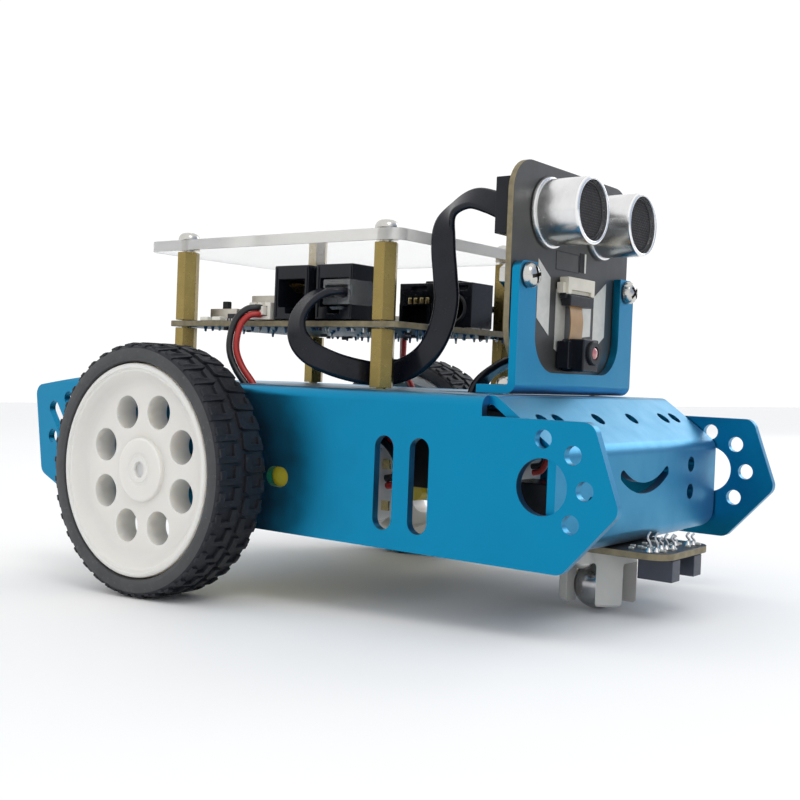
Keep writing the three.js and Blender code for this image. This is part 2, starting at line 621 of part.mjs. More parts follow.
// Battery holder with two cells, hung under the deck between the motors
function battery() {
  const tray = box([-13, 63], [-20.5, 20.5], [31, 50.5]);
  const well = box([-11, 61], [-19, 19], [29, 48.8]);
  bodyPiece('battery_holder', tray.subtract(well), BLACK);
  const cells = both(8.9, (y) => rod(9.1, [-8, y, 39.2], [58, y, 39.2], 20));
  bodyPiece('battery_pack', joined(cells), GREY);
}

// Cables: each is a tube along points chosen by hand
function tube(points, radius, steps) {
  const knots = points.map((point) => new THREE.Vector3(...point));
  const extrudePath = new THREE.CatmullRomCurve3(knots, false, 'centripetal');
  const section = new THREE.Shape();
  section.absarc(0, 0, radius, 0, 2 * Math.PI, false);
  return toSolid(new THREE.ExtrudeGeometry(section, { steps, extrudePath, curveSegments: 4 }));
}

const SENSOR_CABLE = [
  [40.4, -31.8, 79.7], [40.2, -33.4, 79.7], [38.2, -35.2, 79.2], [34.4, -36.9, 77.1], [31.6, -38, 72.6],
  [31.7, -38, 68], [34.2, -36.8, 64.4], [38.2, -32.8, 61.6], [42.6, -27.2, 59.8], [47, -22.6, 59.2],
  [53.2, -20.6, 60.8], [59.6, -20.4, 65], [62.6, -19.4, 71], [64, -19.2, 77.8], [64.4, -20.8, 84.6],
  [64.4, -22, 91.2], [65, -22.4, 96.6], [67.8, -22.4, 100.4], [72.8, -22.4, 102.4],
  [78.2, -22.4, 101.2], [82.2, -22.2, 99.6],
];

const LINE_CABLE = [
  [75.4, 0, 28.2], [72, -1.4, 29.6], [69, -4, 34], [67.6, -7, 41], [67.2, -9.4, 49], [67.8, -9.6, 56],
  [69.6, -5.4, 61], [71.6, 1, 64], [73, 8, 66.6], [73.4, 16, 69.6], [72, 24, 73], [68.6, 30.6, 76],
  [62.6, 35.6, 78.4], [54.6, 38.2, 79.6], [46.6, 38.2, 79.8], [41.4, 35.8, 79.7], [39.6, 33.4, 79.6],
  [39.4, 31.8, 79.6],
];

// The right motor's twin lead, from its connector to the motor's tabs
const MOTOR_LEAD = [
  [12.4, -31.8, 74.8], [12.2, -33, 74.8], [10.8, -34.8, 74.4], [9, -36.4, 72], [8.2, -37.4, 68],
  [8.2, -37.5, 63.8], [10, -36.9, 59.4], [13.4, -36, 55], [16.2, -35.6, 50.4], [21, -35, 47.8],
  [29, -34.7, 47], [40, -34.5, 46.8], [51, -34.5, 46.2], [58, -34.5, 44], [62.4, -34.5, 40],
  [63.4, -34.5, 36.6], [62, -34.5, 34], [59.2, -34.5, 33.2],
];

function cables() {
  bodyPiece('sensor_cable', tube(SENSOR_CABLE, CABLE_RADIUS, 36), BLACK);
  bodyPiece('line_cable', tube(LINE_CABLE, CABLE_RADIUS, 28), BLACK);
  const lead = tube(MOTOR_LEAD, LEAD_RADIUS, 26);
  bodyPiece('lead_right', lead, RED);
  bodyPiece('lead_left', mirrored(lead), RED);
}

bodyPiece('chassis', chassis(), BLUE);
sensorHead();
boardStack();
boardSockets();
switches();
lineSensor();
caster();
drive();
battery();
cables();

export default robot;
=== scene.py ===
import math
import random

import bmesh
import bpy
from mathutils import Matrix, Vector


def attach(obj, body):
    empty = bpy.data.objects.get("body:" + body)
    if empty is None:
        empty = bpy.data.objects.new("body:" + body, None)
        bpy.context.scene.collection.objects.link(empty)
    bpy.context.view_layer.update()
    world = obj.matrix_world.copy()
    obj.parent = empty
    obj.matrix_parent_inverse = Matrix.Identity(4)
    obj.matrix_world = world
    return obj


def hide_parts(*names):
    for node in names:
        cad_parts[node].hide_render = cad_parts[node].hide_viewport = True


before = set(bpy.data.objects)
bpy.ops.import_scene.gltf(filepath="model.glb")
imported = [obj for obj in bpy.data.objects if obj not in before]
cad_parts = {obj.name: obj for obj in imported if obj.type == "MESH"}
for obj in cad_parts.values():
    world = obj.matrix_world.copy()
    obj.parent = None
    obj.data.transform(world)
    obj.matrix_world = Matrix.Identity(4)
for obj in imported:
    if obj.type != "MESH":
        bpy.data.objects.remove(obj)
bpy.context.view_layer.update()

# The robot car's looks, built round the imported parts. Lengths are millimetres until a piece is
# placed: +X forward, +Y left, +Z up, with x measured from the wheel axle of the level car.

# Dimensions shared with the CAD
TYRE_RADIUS = 32.5
TYRE_WIDTH = 16.3
TYRE_FACE_Y = 64
RIM_RADIUS = 27.2
HUB_RADIUS = 7.8
SHEET = 2
HALF_WIDTH = 46
DECK_Z = 55.5
BOTTOM_Z = 19.3
DECK_FRONT_X = 93.2
NOSE_X = 110.4
NOSE_HALF_WIDTH = 43.4
LIP_Z = 21.5
LIP_HALF_WIDTH = 27
PCB = 1.6
BOARD_Z = 70.7
BOARD_TOP = BOARD_Z + PCB + 0.3
BOARD_HALF_WIDTH = 31.4
BOARD_BACK_X = -25
BOARD_FRONT_X = 57.5
COVER_Z = 92.3
COVER_THICKNESS = 3
COVER_BACK_X = -35
POSTS = [(x, y) for x in (-21.1, 51.2) for y in (-27.9, 27.9)]
BRACKET_X = 91.1
BRACKET_HALF_WIDTH = 29.4
SENSOR_X = 88.8
TRANSDUCER_Y = 13.3
TRANSDUCER_Z = 99.2
TRANSDUCER_FACE_X = 100.9
BALL_RADIUS = 6
BALL_X = 99
BALL_Z = 10
CASTER_RADIUS = 9.3
CASTER_SCREW_Y = 9
LINE_BOARD_TOP = 21.2
LINE_BOARD_HALF_WIDTH = 13.6
CENTRE_X = 30.33
ENDS = ["rear_right", "rear_left", "front_right", "front_left"]

# The lean that sets the ball on the floor, and the two ways from millimetres to the frame
drop = TYRE_RADIUS - BALL_Z
LEAN = math.asin((TYRE_RADIUS - BALL_RADIUS) / math.hypot(BALL_X, drop)) - math.atan2(drop, BALL_X)
AXLE = Matrix.Scale(0.001, 4) @ Matrix.Translation((-CENTRE_X, 0, TYRE_RADIUS))
BODY = AXLE @ Matrix.Rotation(LEAN, 4, "Y") @ Matrix.Translation((0, 0, -TYRE_RADIUS))


# ---------------------------------------------------------------- camera
CAMERA_TURN = (0.649355, -0.0215947, 0.0386883)
CAMERA_AT = (224.627, -248.312, 58.949)
CAMERA_FOCAL = 50.47


def make_camera():
    """A camera at right front, turned by yaw, pitch and roll from looking along +Y."""
    yaw, pitch, roll = CAMERA_TURN
    ahead = Vector((-math.sin(yaw) * math.cos(pitch), math.cos(yaw) * math.cos(pitch), math.sin(pitch)))
    right = Vector((math.cos(yaw), math.sin(yaw), 0))
    up = right.cross(ahead)
    turned = (math.cos(roll) * right + math.sin(roll) * up, math.cos(roll) * up - math.sin(roll) * right)
    axes = Matrix((turned[0], turned[1], -ahead)).transposed().to_4x4()
    data = bpy.data.cameras.new("camera")
    data.lens = CAMERA_FOCAL
    data.sensor_width = 36
    data.clip_start = 0.01
    data.clip_end = 50
    camera = bpy.data.objects.new("camera", data)
    bpy.context.scene.collection.objects.link(camera)
    place = Matrix.Rotation(LEAN, 4, "Y") @ axes
    place.translation = BODY @ Vector(CAMERA_AT)
    camera.matrix_world = place
    bpy.context.scene.camera = camera


make_camera()


# ---------------------------------------------------------------- materials
class Nodes:
    """A material's node tree, with a short way to add a linked node."""

    def __init__(self, name):
        self.material = bpy.data.materials.new(name)
        self.material.use_nodes = True
        self.tree = self.material.node_tree
        self.shader = self.tree.nodes["Principled BSDF"]
        self.place = self.add("ShaderNodeTexCoord").outputs["Object"]

    def add(self, kind, settings=(), **links):
        node = self.tree.nodes.new(kind)
        for key, value in dict(settings).items():
            if isinstance(key, str) and hasattr(node, key):
                setattr(node, key, value)
            else:
                node.inputs[key].default_value = value
        for key, value in links.items():
            self.tree.links.new(value, node.inputs[key.replace("_", " ")])
        return node

    def noise(self, scale, stretch=(1, 1, 1), detail=3.0, roughness=0.55):
        mapped = self.add("ShaderNodeMapping", {"Scale": stretch}, Vector=self.place)
        return self.add("ShaderNodeTexNoise", {"Scale": scale, "Detail": detail, "Roughness": roughness},
                        Vector=mapped.outputs["Vector"]).outputs["Fac"]

    def mix(self, factor, first, second):
        node = self.tree.nodes.new("ShaderNodeMix")
        node.data_type = "RGBA"
        self.tree.links.new(factor, node.inputs["Factor"])
        for socket, value in ((node.inputs[6], first), (node.inputs[7], second)):
            if isinstance(value, (tuple, list)):
                socket.default_value = (*value[:3], 1)
            else:
                self.tree.links.new(value, socket)
        return node.outputs[2]

    def ranged(self, value, low, high, start=0.3, stop=0.7):
        return self.add("ShaderNodeMapRange", {1: start, 2: stop, 3: low, 4: high},
                        Value=value).outputs["Result"]

    def link(self, output, socket):
        self.tree.links.new(output, self.shader.inputs[socket])

    def bump(self, height, strength, distance, after=None):
        node = self.add("ShaderNodeBump", {"Strength": strength, "Distance": distance}, Height=height)
        if after is not None:
            self.tree.links.new(after, node.inputs["Normal"])
        return node.outputs["Normal"]


def tinted(color, factor):
    return tuple(min(1, c * factor) for c in color)


def surface(name, color, roughness, metallic=0.0, vary=0.12, patch=60, grain=2500, depth=0.00003,
            strength=0.25, stretch=(1, 1, 1), glint_spots=None, **sockets):
    """Colour in broad patches, a fine grain in the relief, a roughness that drifts, and, where asked, pale
    spots of painted glint.
    """
    n = Nodes(name)
    patches = n.noise(patch)
    shade = n.mix(n.ranged(patches, 0, 1), tinted(color, 1 - vary), tinted(color, 1 + vary))
    # Pale spots of painted glint, mixed over the base colour
    if glint_spots:
        shade = n.mix(n.ranged(n.noise(glint_spots[2], detail=5), 0, glint_spots[1], 0.55, 0.68), shade, glint_spots[0])
    n.link(shade, "Base Color")
    n.link(n.ranged(n.noise(patch * 6), roughness * 0.85, roughness * 1.15), "Roughness")
    n.link(n.bump(n.noise(grain, stretch), strength, depth), "Normal")
    n.shader.inputs["Metallic"].default_value = metallic
    for key, value in sockets.items():
        n.shader.inputs[key.replace("_", " ")].default_value = value
    return n.material


BLUE = surface("blue_anodised", (0.0, 0.225, 0.42), 0.36, 1.0, vary=0.03, patch=25, grain=5200, depth=0.00002,
               strength=0.35, Coat_Weight=0.12, Coat_Roughness=0.25, Sheen_Weight=0.1, Sheen_Roughness=0.45)
# The rounded edges of the blue sheet: a lighter copy of the blue with pale spots, a painted highlight along
# the edges
BLUE_EDGE_HIGHLIGHT = surface("blue_anodised_edge_highlight", (0.02, 0.3, 0.5), 0.34, 1.0, vary=0.1, patch=60, grain=5200,
                    glint_spots=((0.6, 0.72, 0.8), 0.9, 150), Coat_Weight=0.1)
BRASS = surface("brass", (0.30, 0.225, 0.078), 0.3, 0.95, vary=0.08, patch=160, grain=3000,
                stretch=(1, 1, 0.06))
STEEL = surface("bright_steel", (0.56, 0.55, 0.52), 0.22, 1.0, vary=0.1, patch=300)
# Painted shade: a dark copy of the steel for the cross recesses of the screw heads
RECESS_SHADE = surface("screw_recess_shade", (0.1, 0.085, 0.065), 0.5, 0.8, vary=0.2, patch=900)
BALL_STEEL = surface("ball_steel", (0.42, 0.42, 0.43), 0.24, 1.0, vary=0.12, patch=220, grain=900)
TURNED = surface("turned_aluminium", (0.74, 0.74, 0.74), 0.24, 1.0, vary=0.07, patch=150, grain=320,
                 stretch=(14, 0.2, 0.2), depth=0.00002, strength=0.3)
RIM_BRIGHT = surface("polished_edge", (0.86, 0.86, 0.85), 0.16, 1.0, vary=0.04)
WIRE = surface("mesh_wire", (0.055, 0.055, 0.06), 0.5, 0.4, vary=0.2, patch=800)
# Painted shade: near black, for the inside of the transducers and the sensor slot
CAVITY_SHADE = surface("cavity_painted_shade", (0.012, 0.012, 0.014), 0.8)
BLACK = surface("black_plastic", (0.0065, 0.008, 0.012), 0.22, vary=0.25, patch=120, grain=1600,
                strength=0.12,
                Specular_IOR_Level=0.26)
SATIN_BLACK = surface("satin_black", (0.014, 0.015, 0.018), 0.42, vary=0.2, patch=140, grain=3800,
                      Specular_IOR_Level=0.32)
IVORY = surface("ivory_plastic", (0.66, 0.62, 0.52), 0.42, vary=0.06, patch=200, grain=3000)
JST = surface("white_connector", (0.72, 0.69, 0.62), 0.4, vary=0.05, patch=220, grain=3000,
              Subsurface_Weight=0.1,
              Subsurface_Scale=0.001)
MILKY = surface("milky_plastic", (0.72, 0.705, 0.67), 0.34, vary=0.03, patch=40, grain=2600, strength=0.12,
                Subsurface_Weight=0.7, Subsurface_Scale=0.004, Subsurface_Radius=(1.0, 0.9, 0.75))
YELLOW = surface("yellow_plastic", (0.62, 0.50, 0.03), 0.42, vary=0.06, patch=70, grain=2600)
NYLON = surface("grey_nylon", (0.56, 0.56, 0.53), 0.45, vary=0.06, patch=90, grain=2600,
                Subsurface_Weight=0.15,
                Subsurface_Scale=0.0015)
TIN = surface("tinned_steel", (0.55, 0.52, 0.46), 0.34, 0.9, vary=0.12, patch=260, grain=2200)
SILVER = surface("silver_pad", (0.62, 0.61, 0.55), 0.38, 0.45, vary=0.06, patch=500, grain=2600)
SOLDER = surface("solder", (0.5, 0.5, 0.5), 0.3, 0.95, vary=0.2, patch=900)
# Painted reflection: solder tails under the board tinted with the blue of the deck below
SOLDER_BLUE_REFLECTION = surface("pins_blue_reflection", (0.03, 0.08, 0.17), 0.3, 0.6, vary=0.3, patch=900)
GOLD = surface("gold_contacts", (0.83, 0.66, 0.33), 0.25, 1.0, vary=0.08, patch=500)
AMBER = surface("amber_flex", (0.34, 0.185, 0.06), 0.35, vary=0.1, patch=300, grain=1500, Coat_Weight=0.4)
LAMINATE = surface("laminate_edge", (0.20, 0.165, 0.095), 0.6, vary=0.25, patch=500, grain=1500,
                   stretch=(0.2, 0.2, 3))
RED_WIRE = surface("red_insulation", (0.42, 0.022, 0.018), 0.35, vary=0.08, patch=200, grain=1800)
BLACK_WIRE = surface("black_insulation", (0.012, 0.012, 0.013), 0.35, vary=0.2, patch=200, grain=1800)
WRAP = surface("battery_wrap", (0.10, 0.14, 0.18), 0.28, vary=0.12, patch=60, grain=500, Coat_Weight=0.3)
CAN = surface("motor_can", (0.55, 0.54, 0.52), 0.3, 0.95, vary=0.1, patch=120, grain=1800,
              stretch=(4, 0.3, 0.3))
LENS = surface("lens_glass", (0.42, 0.12, 0.12), 0.08, vary=0.3, patch=900, grain=200, strength=0.02,
               Coat_Weight=1.0)
LED = surface("led_white", (0.8, 0.79, 0.7), 0.3, vary=0.05, patch=500)
INFRARED = surface("sensor_block", (0.035, 0.042, 0.062), 0.42, vary=0.1, patch=200, grain=3000)


def board_surface(name, color, line):
    """Solder mask over a weave, with faint tracks where a cell pattern has its edges."""
    n = Nodes(name)
    mapped = n.add("ShaderNodeMapping", {"Scale": (420, 420, 420)}, Vector=n.place)
    cells = n.add("ShaderNodeTexVoronoi", {"feature": "DISTANCE_TO_EDGE", "Randomness": 0.35},
                  Vector=mapped.outputs["Vector"]).outputs["Distance"]
    track = n.ranged(cells, 1, 0, 0.02, 0.06)
    patches = n.ranged(n.noise(90), 0, 1)
    mask = n.mix(patches, tinted(color, 0.88), tinted(color, 1.12))
    n.link(n.mix(track, mask, line), "Base Color")
    n.link(n.ranged(n.noise(500), 0.36, 0.48), "Roughness")
    woven = n.bump(n.noise(2600), 0.2, 0.00002)
    n.link(n.bump(track, 0.25, 0.00004, woven), "Normal")
    return n.material


MASK = board_surface("black_solder_mask", (0.022, 0.023, 0.024), (0.034, 0.034, 0.034))
SENSOR_MASK = surface("grey_solder_mask", (0.036, 0.036, 0.034), 0.4, vary=0.12, patch=35, grain=3200,
                      strength=0.2)


def rubber_surface(name, color, roughness, dust):
    n = Nodes(name)
    mottled = n.ranged(n.noise(140, detail=6), 0, 1)
    shade = n.mix(mottled, tinted(color, 0.85), tinted(color, 1.15))
    speck = n.ranged(n.noise(900, detail=2), 0, 0.5, 0.62, 0.75)
    n.link(n.mix(speck, shade, dust), "Base Color")
    n.link(n.ranged(n.noise(420), roughness * 0.9, min(1, roughness * 1.1)), "Roughness")
    coarse = n.bump(n.noise(700), 0.3, 0.00008)
    n.link(n.bump(n.noise(4200), 0.4, 0.00003, coarse), "Normal")
    n.shader.inputs["Specular IOR Level"].default_value = 0.35
    return n.material


SIDEWALL = rubber_surface("tyre_sidewall", (0.056, 0.058, 0.062), 0.62, (0.12, 0.12, 0.12))
TREAD = rubber_surface("tyre_tread", (0.0135, 0.015, 0.02), 0.58, (0.05, 0.05, 0.055))


def jacket_surface():
    """Glossy flat-cable jacket with slow ripples and a fine rub."""
    n = Nodes("flat_cable_jacket")
    n.link(n.mix(n.ranged(n.noise(160), 0, 1), (0.004, 0.005, 0.009), (0.009, 0.01, 0.017)), "Base Color")
    n.link(n.ranged(n.noise(420), 0.16, 0.28), "Roughness")
    n.shader.inputs["Specular IOR Level"].default_value = 0.3
    ripple = n.bump(n.noise(170), 0.25, 0.0003)
    n.link(n.bump(n.noise(2600), 0.15, 0.00003, ripple), "Normal")
    return n.material


JACKET = jacket_surface()


def clear_surface(name, tint, roughness, clouding, clearness=1.0):
    """Clear moulded plastic: see-through, with a little haze that drifts over it."""
    n = Nodes(name)
    n.link(n.mix(n.ranged(n.noise(90), 0, 1), tinted(tint, 0.97), tint), "Base Color")
    n.link(n.ranged(n.noise(260), roughness, roughness + clouding), "Roughness")
    n.link(n.bump(n.noise(600), 0.05, 0.00003), "Normal")
    n.shader.inputs["Transmission Weight"].default_value = clearness
    n.shader.inputs["IOR"].default_value = 1.49
    return n.material


ACRYLIC = clear_surface("clear_acrylic", (0.965, 0.965, 0.955), 0.01, 0.03)
ACRYLIC_EDGE = clear_surface("acrylic_edge", (0.86, 0.85, 0.82), 0.3, 0.05, 0.7)
CLEAR_PLUG = clear_surface("clear_plug", (0.62, 0.65, 0.68), 0.1, 0.08, 0.86)


# ---------------------------------------------------------------- solids
def outline(*corners, steps=6):
    """The points of a closed outline whose corners are (x, y, radius)."""
    points = []
    for i, (x, y, *radius) in enumerate(corners):
        here = Vector((x, y))
        if not radius or not radius[0]:
            points.append(here)
            continue
        back = (Vector(corners[i - 1][:2]) - here).normalized()
        ahead = (Vector(corners[(i + 1) % len(corners)][:2]) - here).normalized()
        half = back.angle(ahead) / 2
        centre = here + (back + ahead).normalized() * (radius[0] / math.sin(half))
        start = here + back * (radius[0] / math.tan(half)) - centre
        end = here + ahead * (radius[0] / math.tan(half)) - centre
        points += [centre + start.lerp(end, k / steps).normalized() * radius[0] for k in range(steps + 1)]
    return points


def rectangle(xs, ys, radius=0.0, steps=6):
    (x0, x1), (y0, y1) = xs, ys
    return outline((x0, y0, radius), (x1, y0, radius), (x1, y1, radius), (x0, y1, radius), steps=steps)


def circle(radius, centre=(0, 0), sides=40):
    turn = 2 * math.pi / sides
    return [Vector((centre[0] + radius * math.cos(i * turn), centre[1] + radius * math.sin(i * turn)))
            for i in range(sides)]


def capsule(first, last, width, steps=12):
    """A round-ended slot from one centre to the other."""
    a, b = Vector(first), Vector(last)
    heading = math.atan2((b - a).y, (b - a).x) if (b - a).length else 0
    points = []
    for centre, start in ((b, heading - math.pi / 2), (a, heading + math.pi / 2)):
        for k in range(steps + 1):
            angle = start + math.pi * k / steps
            points.append(centre + Vector((math.cos(angle), math.sin(angle))) * (width / 2))
    return points


LAID = {"x": lambda u, v, w: (w, u, v), "y": lambda u, v, w: (u, w, v), "z": lambda u, v, w: (u, v, w)}


def prism(points, span, axis):
    """A flat outline pushed along an axis."""
    bm = bmesh.new()
    low, high = ([bm.verts.new(LAID[axis](p[0], p[1], w)) for p in points] for w in span)
    bm.faces.new(low)
    bm.faces.new(high[::-1])
    for i in range(len(points)):
        bm.faces.new((low[i - 1], low[i], high[i], high[i - 1]))
    bmesh.ops.recalc_face_normals(bm, faces=bm.faces)
    return bm


def block(xs, ys, zs):
    return prism([(xs[0], ys[0]), (xs[1], ys[0]), (xs[1], ys[1]), (xs[0], ys[1])], zs, "z")


def lathe(profile, origin=(0, 0, 0), axis=(0, 0, 1), segments=48, closed=False):
    """A profile of (radius, distance along) turned about an axis."""
    bm = bmesh.new()
    turn = Vector((0, 0, 1)).rotation_difference(Vector(axis)).to_matrix()
    rings = []
    for radius, along in profile:
        if radius < 1e-6:
            rings.append([bm.verts.new(Vector(origin) + turn @ Vector((0, 0, along)))] * segments)
            continue
        rings.append([
            bm.verts.new(Vector(origin) + turn @ Vector((
                radius * math.cos(2 * math.pi * k / segments), radius * math.sin(2 * math.pi * k / segments),
                along)))
            for k in range(segments)])
    pairs = list(zip(rings, rings[1:])) + ([(rings[-1], rings[0])] if closed else [])
    for first, second in pairs:
        for k in range(segments):
            corner = [first[k - 1], first[k], second[k], second[k - 1]]
            unique = list(dict.fromkeys(corner))
            if len(unique) > 2:
                bm.faces.new(unique)
    bmesh.ops.recalc_face_normals(bm, faces=bm.faces)
    return bm


def rod(radius, start, end, sides=32):
    span = Vector(end) - Vector(start)
    return lathe([(0, 0), (radius, 0), (radius, span.length), (0, span.length)], start, span, sides)


def joined(*solids):
    """The solids side by side in one mesh."""
    whole = bmesh.new()
    for solid in solids:
        mesh = bpy.data.meshes.new("part")
        solid.to_mesh(mesh)
        solid.free()
        whole.from_mesh(mesh)
        bpy.data.meshes.remove(mesh)
    return whole


def moved(bm, matrix):
    bm.transform(matrix)
    return bm


def mirrored(bm):
    bm.transform(Matrix.Scale(-1, 4, (0, 1, 0)))
    bmesh.ops.reverse_faces(bm, faces=bm.faces)
    return bm


def loose(bm):
    mesh = bpy.data.meshes.new("working")
    bm.to_mesh(mesh)
    bm.free()
    thing = bpy.data.objects.new("working", mesh)
    bpy.context.scene.collection.objects.link(thing)
    return thing


def combine(first, second, operation):
    """An exact boolean of two closed meshes."""
    target, tool = loose(first), loose(second)
    change = target.modifiers.new("boolean", "BOOLEAN")
    change.operation = operation
    change.solver = "EXACT"
    change.object = tool
    graph = bpy.context.evaluated_depsgraph_get()
    made = target.evaluated_get(graph).to_mesh()
    bm = bmesh.new()
    bm.from_mesh(made)
    for thing in (target, tool):
        mesh = thing.data
        bpy.data.objects.remove(thing)
        bpy.data.meshes.remove(mesh)
    return bm


def cut(solid, *tools):
    return combine(solid, joined(*tools), "DIFFERENCE")


def softened(bm, width, segments=2, angle=30, material=-1):
    """Rounds the sharp edges, in another of the piece's materials if one is given."""
    bmesh.ops.remove_doubles(bm, verts=bm.verts, dist=0.0005)
    sharp = [e for e in bm.edges if e.is_manifold and e.calc_face_angle() > math.radians(angle)]
    bmesh.ops.bevel(bm, geom=sharp, offset=width, segments=segments, profile=0.5, affect="EDGES",
                    clamp_overlap=True, material=material)
    return bm


def faced(bm, index, chosen):
    """Gives the chosen faces another of the piece's materials."""
    for face in bm.faces:
        if chosen(face):
            face.material_index = index
    return bm


def place(name, bm, looks, slot, replaces=(), body="body", into=BODY, sharp=35):
    """Turns a solid into a piece of the car that rides on a body."""
    mesh = bpy.data.meshes.new(name)
    bm.transform(into)
    bm.to_mesh(mesh)
    bm.free()
    mesh.shade_smooth()
    mesh.set_sharp_from_angle(angle=math.radians(sharp))
    for look in looks if isinstance(looks, (list, tuple)) else [looks]:
        mesh.materials.append(look)
    piece = bpy.data.objects.new(name, mesh)
    bpy.context.scene.collection.objects.link(piece)
    weigh = piece.modifiers.new("normals", "WEIGHTED_NORMAL")
    weigh.keep_sharp = True
    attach(piece, body)
    if replaces:
        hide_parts(*([replaces] if isinstance(replaces, str) else replaces))
    return piece


def rounded_block(xs, ys, zs, width=0.25):
    return softened(block(xs, ys, zs), width)


# ---------------------------------------------------------------- cords
SENSOR_CABLE = [
    (40.4, -31.8, 79.7), (40.2, -33.4, 79.7), (38.2, -35.2, 79.2), (34.4, -36.9, 77.1), (31.6, -38, 72.6),
    (31.7, -38, 68), (34.2, -36.8, 64.4), (38.2, -32.8, 61.6), (42.6, -27.2, 59.8), (47, -22.6, 59.2),
    (53.2, -20.6, 60.8), (59.6, -20.4, 65), (62.6, -19.4, 71), (64, -19.2, 77.8), (64.4, -20.8, 84.6),
    (64.4, -22, 91.2), (65, -22.4, 96.6), (67.8, -22.4, 100.4), (72.8, -22.4, 102.4), (78.2, -22.4, 101.2),
    (82.2, -22.2, 99.6),
]
SENSOR_CABLE_FACING = [
    (0, 0, 1), (0.1, 0, 1), (-0.3, -0.4, 0.85), (-0.5, -0.8, 0.3), (-0.3, -1, 0), (0, -1, 0.1),
    (0.1, -1, 0.2), (0.2, -1, 0.2), (0.3, -1, 0.1), (0.2, -1, 0.1), (0.1, -1, 0), (0.2, -1, 0),
    (0.4, -1, 0), (0.5, -0.9, 0), (0.5, -0.9, 0), (0.4, -1, 0), (0, -1, 0.3), (-0.4, -0.7, 0.6),
    (-0.1, -0.8, 0.6), (0.1, -0.9, 0.4), (0, -1, 0.15),
]
LINE_CABLE = [
    (75.4, 0, 28.2), (72, -1.4, 29.6), (69, -4, 34), (67.6, -7, 41), (67.2, -9.4, 49), (67.8, -9.6, 56),
    (69.6, -5.4, 61), (71.6, 1, 64), (73, 8, 66.6), (73.4, 16, 69.6), (72, 24, 73), (68.6, 30.6, 76),
    (62.6, 35.6, 78.4), (54.6, 38.2, 79.6), (46.6, 38.2, 79.8), (41.4, 35.8, 79.7), (39.6, 33.4, 79.6),
    (39.4, 31.8, 79.6),
]
LINE_CABLE_FACING = [
    (0, 0, 1), (-0.3, 0, 1), (-1, 0, 0.5), (-1, 0.1, 0.2), (-1, 0, 0), (-1, 0, 0.2), (-0.8, -0.3, 0.6),
    (-0.6, -0.3, 0.8), (-0.5, -0.1, 0.9), (-0.3, -0.1, 0.9), (0, 0, 1), (0, 0, 1), (0, 0, 1), (0, 0, 1),
    (0, 0, 1), (0, 0, 1), (0, 0, 1), (0, 0, 1),
]
MOTOR_LEAD = [
    (12.4, -31.8, 74.8), (12.2, -33, 74.8), (10.8, -34.8, 74.4), (9, -36.4, 72), (8.2, -37.4, 68),
    (8.2, -37.5, 63.8), (10, -36.9, 59.4), (13.4, -36, 55), (16.2, -35.6, 50.4), (21, -35, 47.8),
    (29, -34.7, 47), (40, -34.5, 46.8), (51, -34.5, 46.2), (58, -34.5, 44), (62.4, -34.5, 40),
    (63.4, -34.5, 36.6), (62, -34.5, 34), (59.2, -34.5, 33.2),
]


def spline(points, per_span=8):
    """The centripetal curve through the points, as the CAD's tubes follow it."""
    ends = [2 * points[0] - points[1], *points, 2 * points[-1] - points[-2]]
    line = []
    for a, b, c, d in zip(ends, ends[1:], ends[2:], ends[3:]):
        ta, tb, tc = ((p - q).length ** 0.5 or 1 for p, q in ((b, a), (c, b), (d, c)))
        start = ((b - a) / ta - (c - a) / (ta + tb) + (c - b) / tb) * tb
        stop = ((c - b) / tb - (d - b) / (tb + tc) + (d - c) / tc) * tb
        for k in range(per_span):
            t = k / per_span
            line.append(b + start * t + (3 * (c - b) - 2 * start - stop) * t ** 2
                        + (2 * (b - c) + start + stop) * t ** 3)
    return [*line, points[-1].copy()]


def swept(line, facings, section):
    """A closed cross-section, drawn as (across, out), carried along a line."""
    bm = bmesh.new()
    rings = []
    for i, point in enumerate(line):
        along = (line[min(i + 1, len(line) - 1)] - line[max(i - 1, 0)]).normalized()
        out = (facings[i] - along * facings[i].dot(along)).normalized()
        across = along.cross(out)
        rings.append([bm.verts.new(point + across * u + out * v) for u, v in section])
    for first, second in zip(rings, rings[1:]):
        for k in range(len(section)):
            bm.faces.new((first[k - 1], first[k], second[k], second[k - 1]))
    bm.faces.new(rings[0])
    bm.faces.new(rings[-1][::-1])
    bmesh.ops.recalc_face_normals(bm, faces=bm.faces)
    return bm


def flat_cable(name, route, facing, node):
    width, thickness = 6.2, 2.0
    line = spline([Vector(p) for p in route])
    facings = spline([Vector(f).normalized() for f in facing])
    edge = rectangle((-width / 2, width / 2), (-thickness / 2, thickness / 2), 0.95, steps=6)
    crown = [(u, v * (1 + 0.06 * math.cos(3 * math.pi * u / width))) for u, v in edge]
    piece = place(name, swept(line, facings, crown), JACKET, "black_cable", node)


def twin_lead(name, node, flip):
    line = spline([Vector(p) for p in MOTOR_LEAD])
    facings = []
    for i in range(len(line)):
        share = min(1, i / 40)
        facings.append(Vector((0.5 + 0.3 * share, -0.8, 0.2 * share)).normalized())
    wires = []
    for index, offset in enumerate((0.9, -0.9)):
        wire = swept(line, facings, [(u + offset, v) for u, v in circle(0.88, sides=14)])
        wires.append(faced(wire, index, lambda face: True))
    pair = joined(*wires)
    path = [Vector(p) for p in line]
    if flip:
        mirrored(pair)
        path = [Vector((p.x, -p.y, p.z)) for p in path]
    piece = place(name, pair, [BLACK_WIRE, RED_WIRE], "lead_insulation", node)
    path = [BODY @ p for p in path]


flat_cable("sensor_flat_cable", SENSOR_CABLE, SENSOR_CABLE_FACING, "sensor_cable")
flat_cable("line_flat_cable", LINE_CABLE, LINE_CABLE_FACING, "line_cable")
twin_lead("motor_leads_right", "lead_right", False)
twin_lead("motor_leads_left", "lead_left", True)


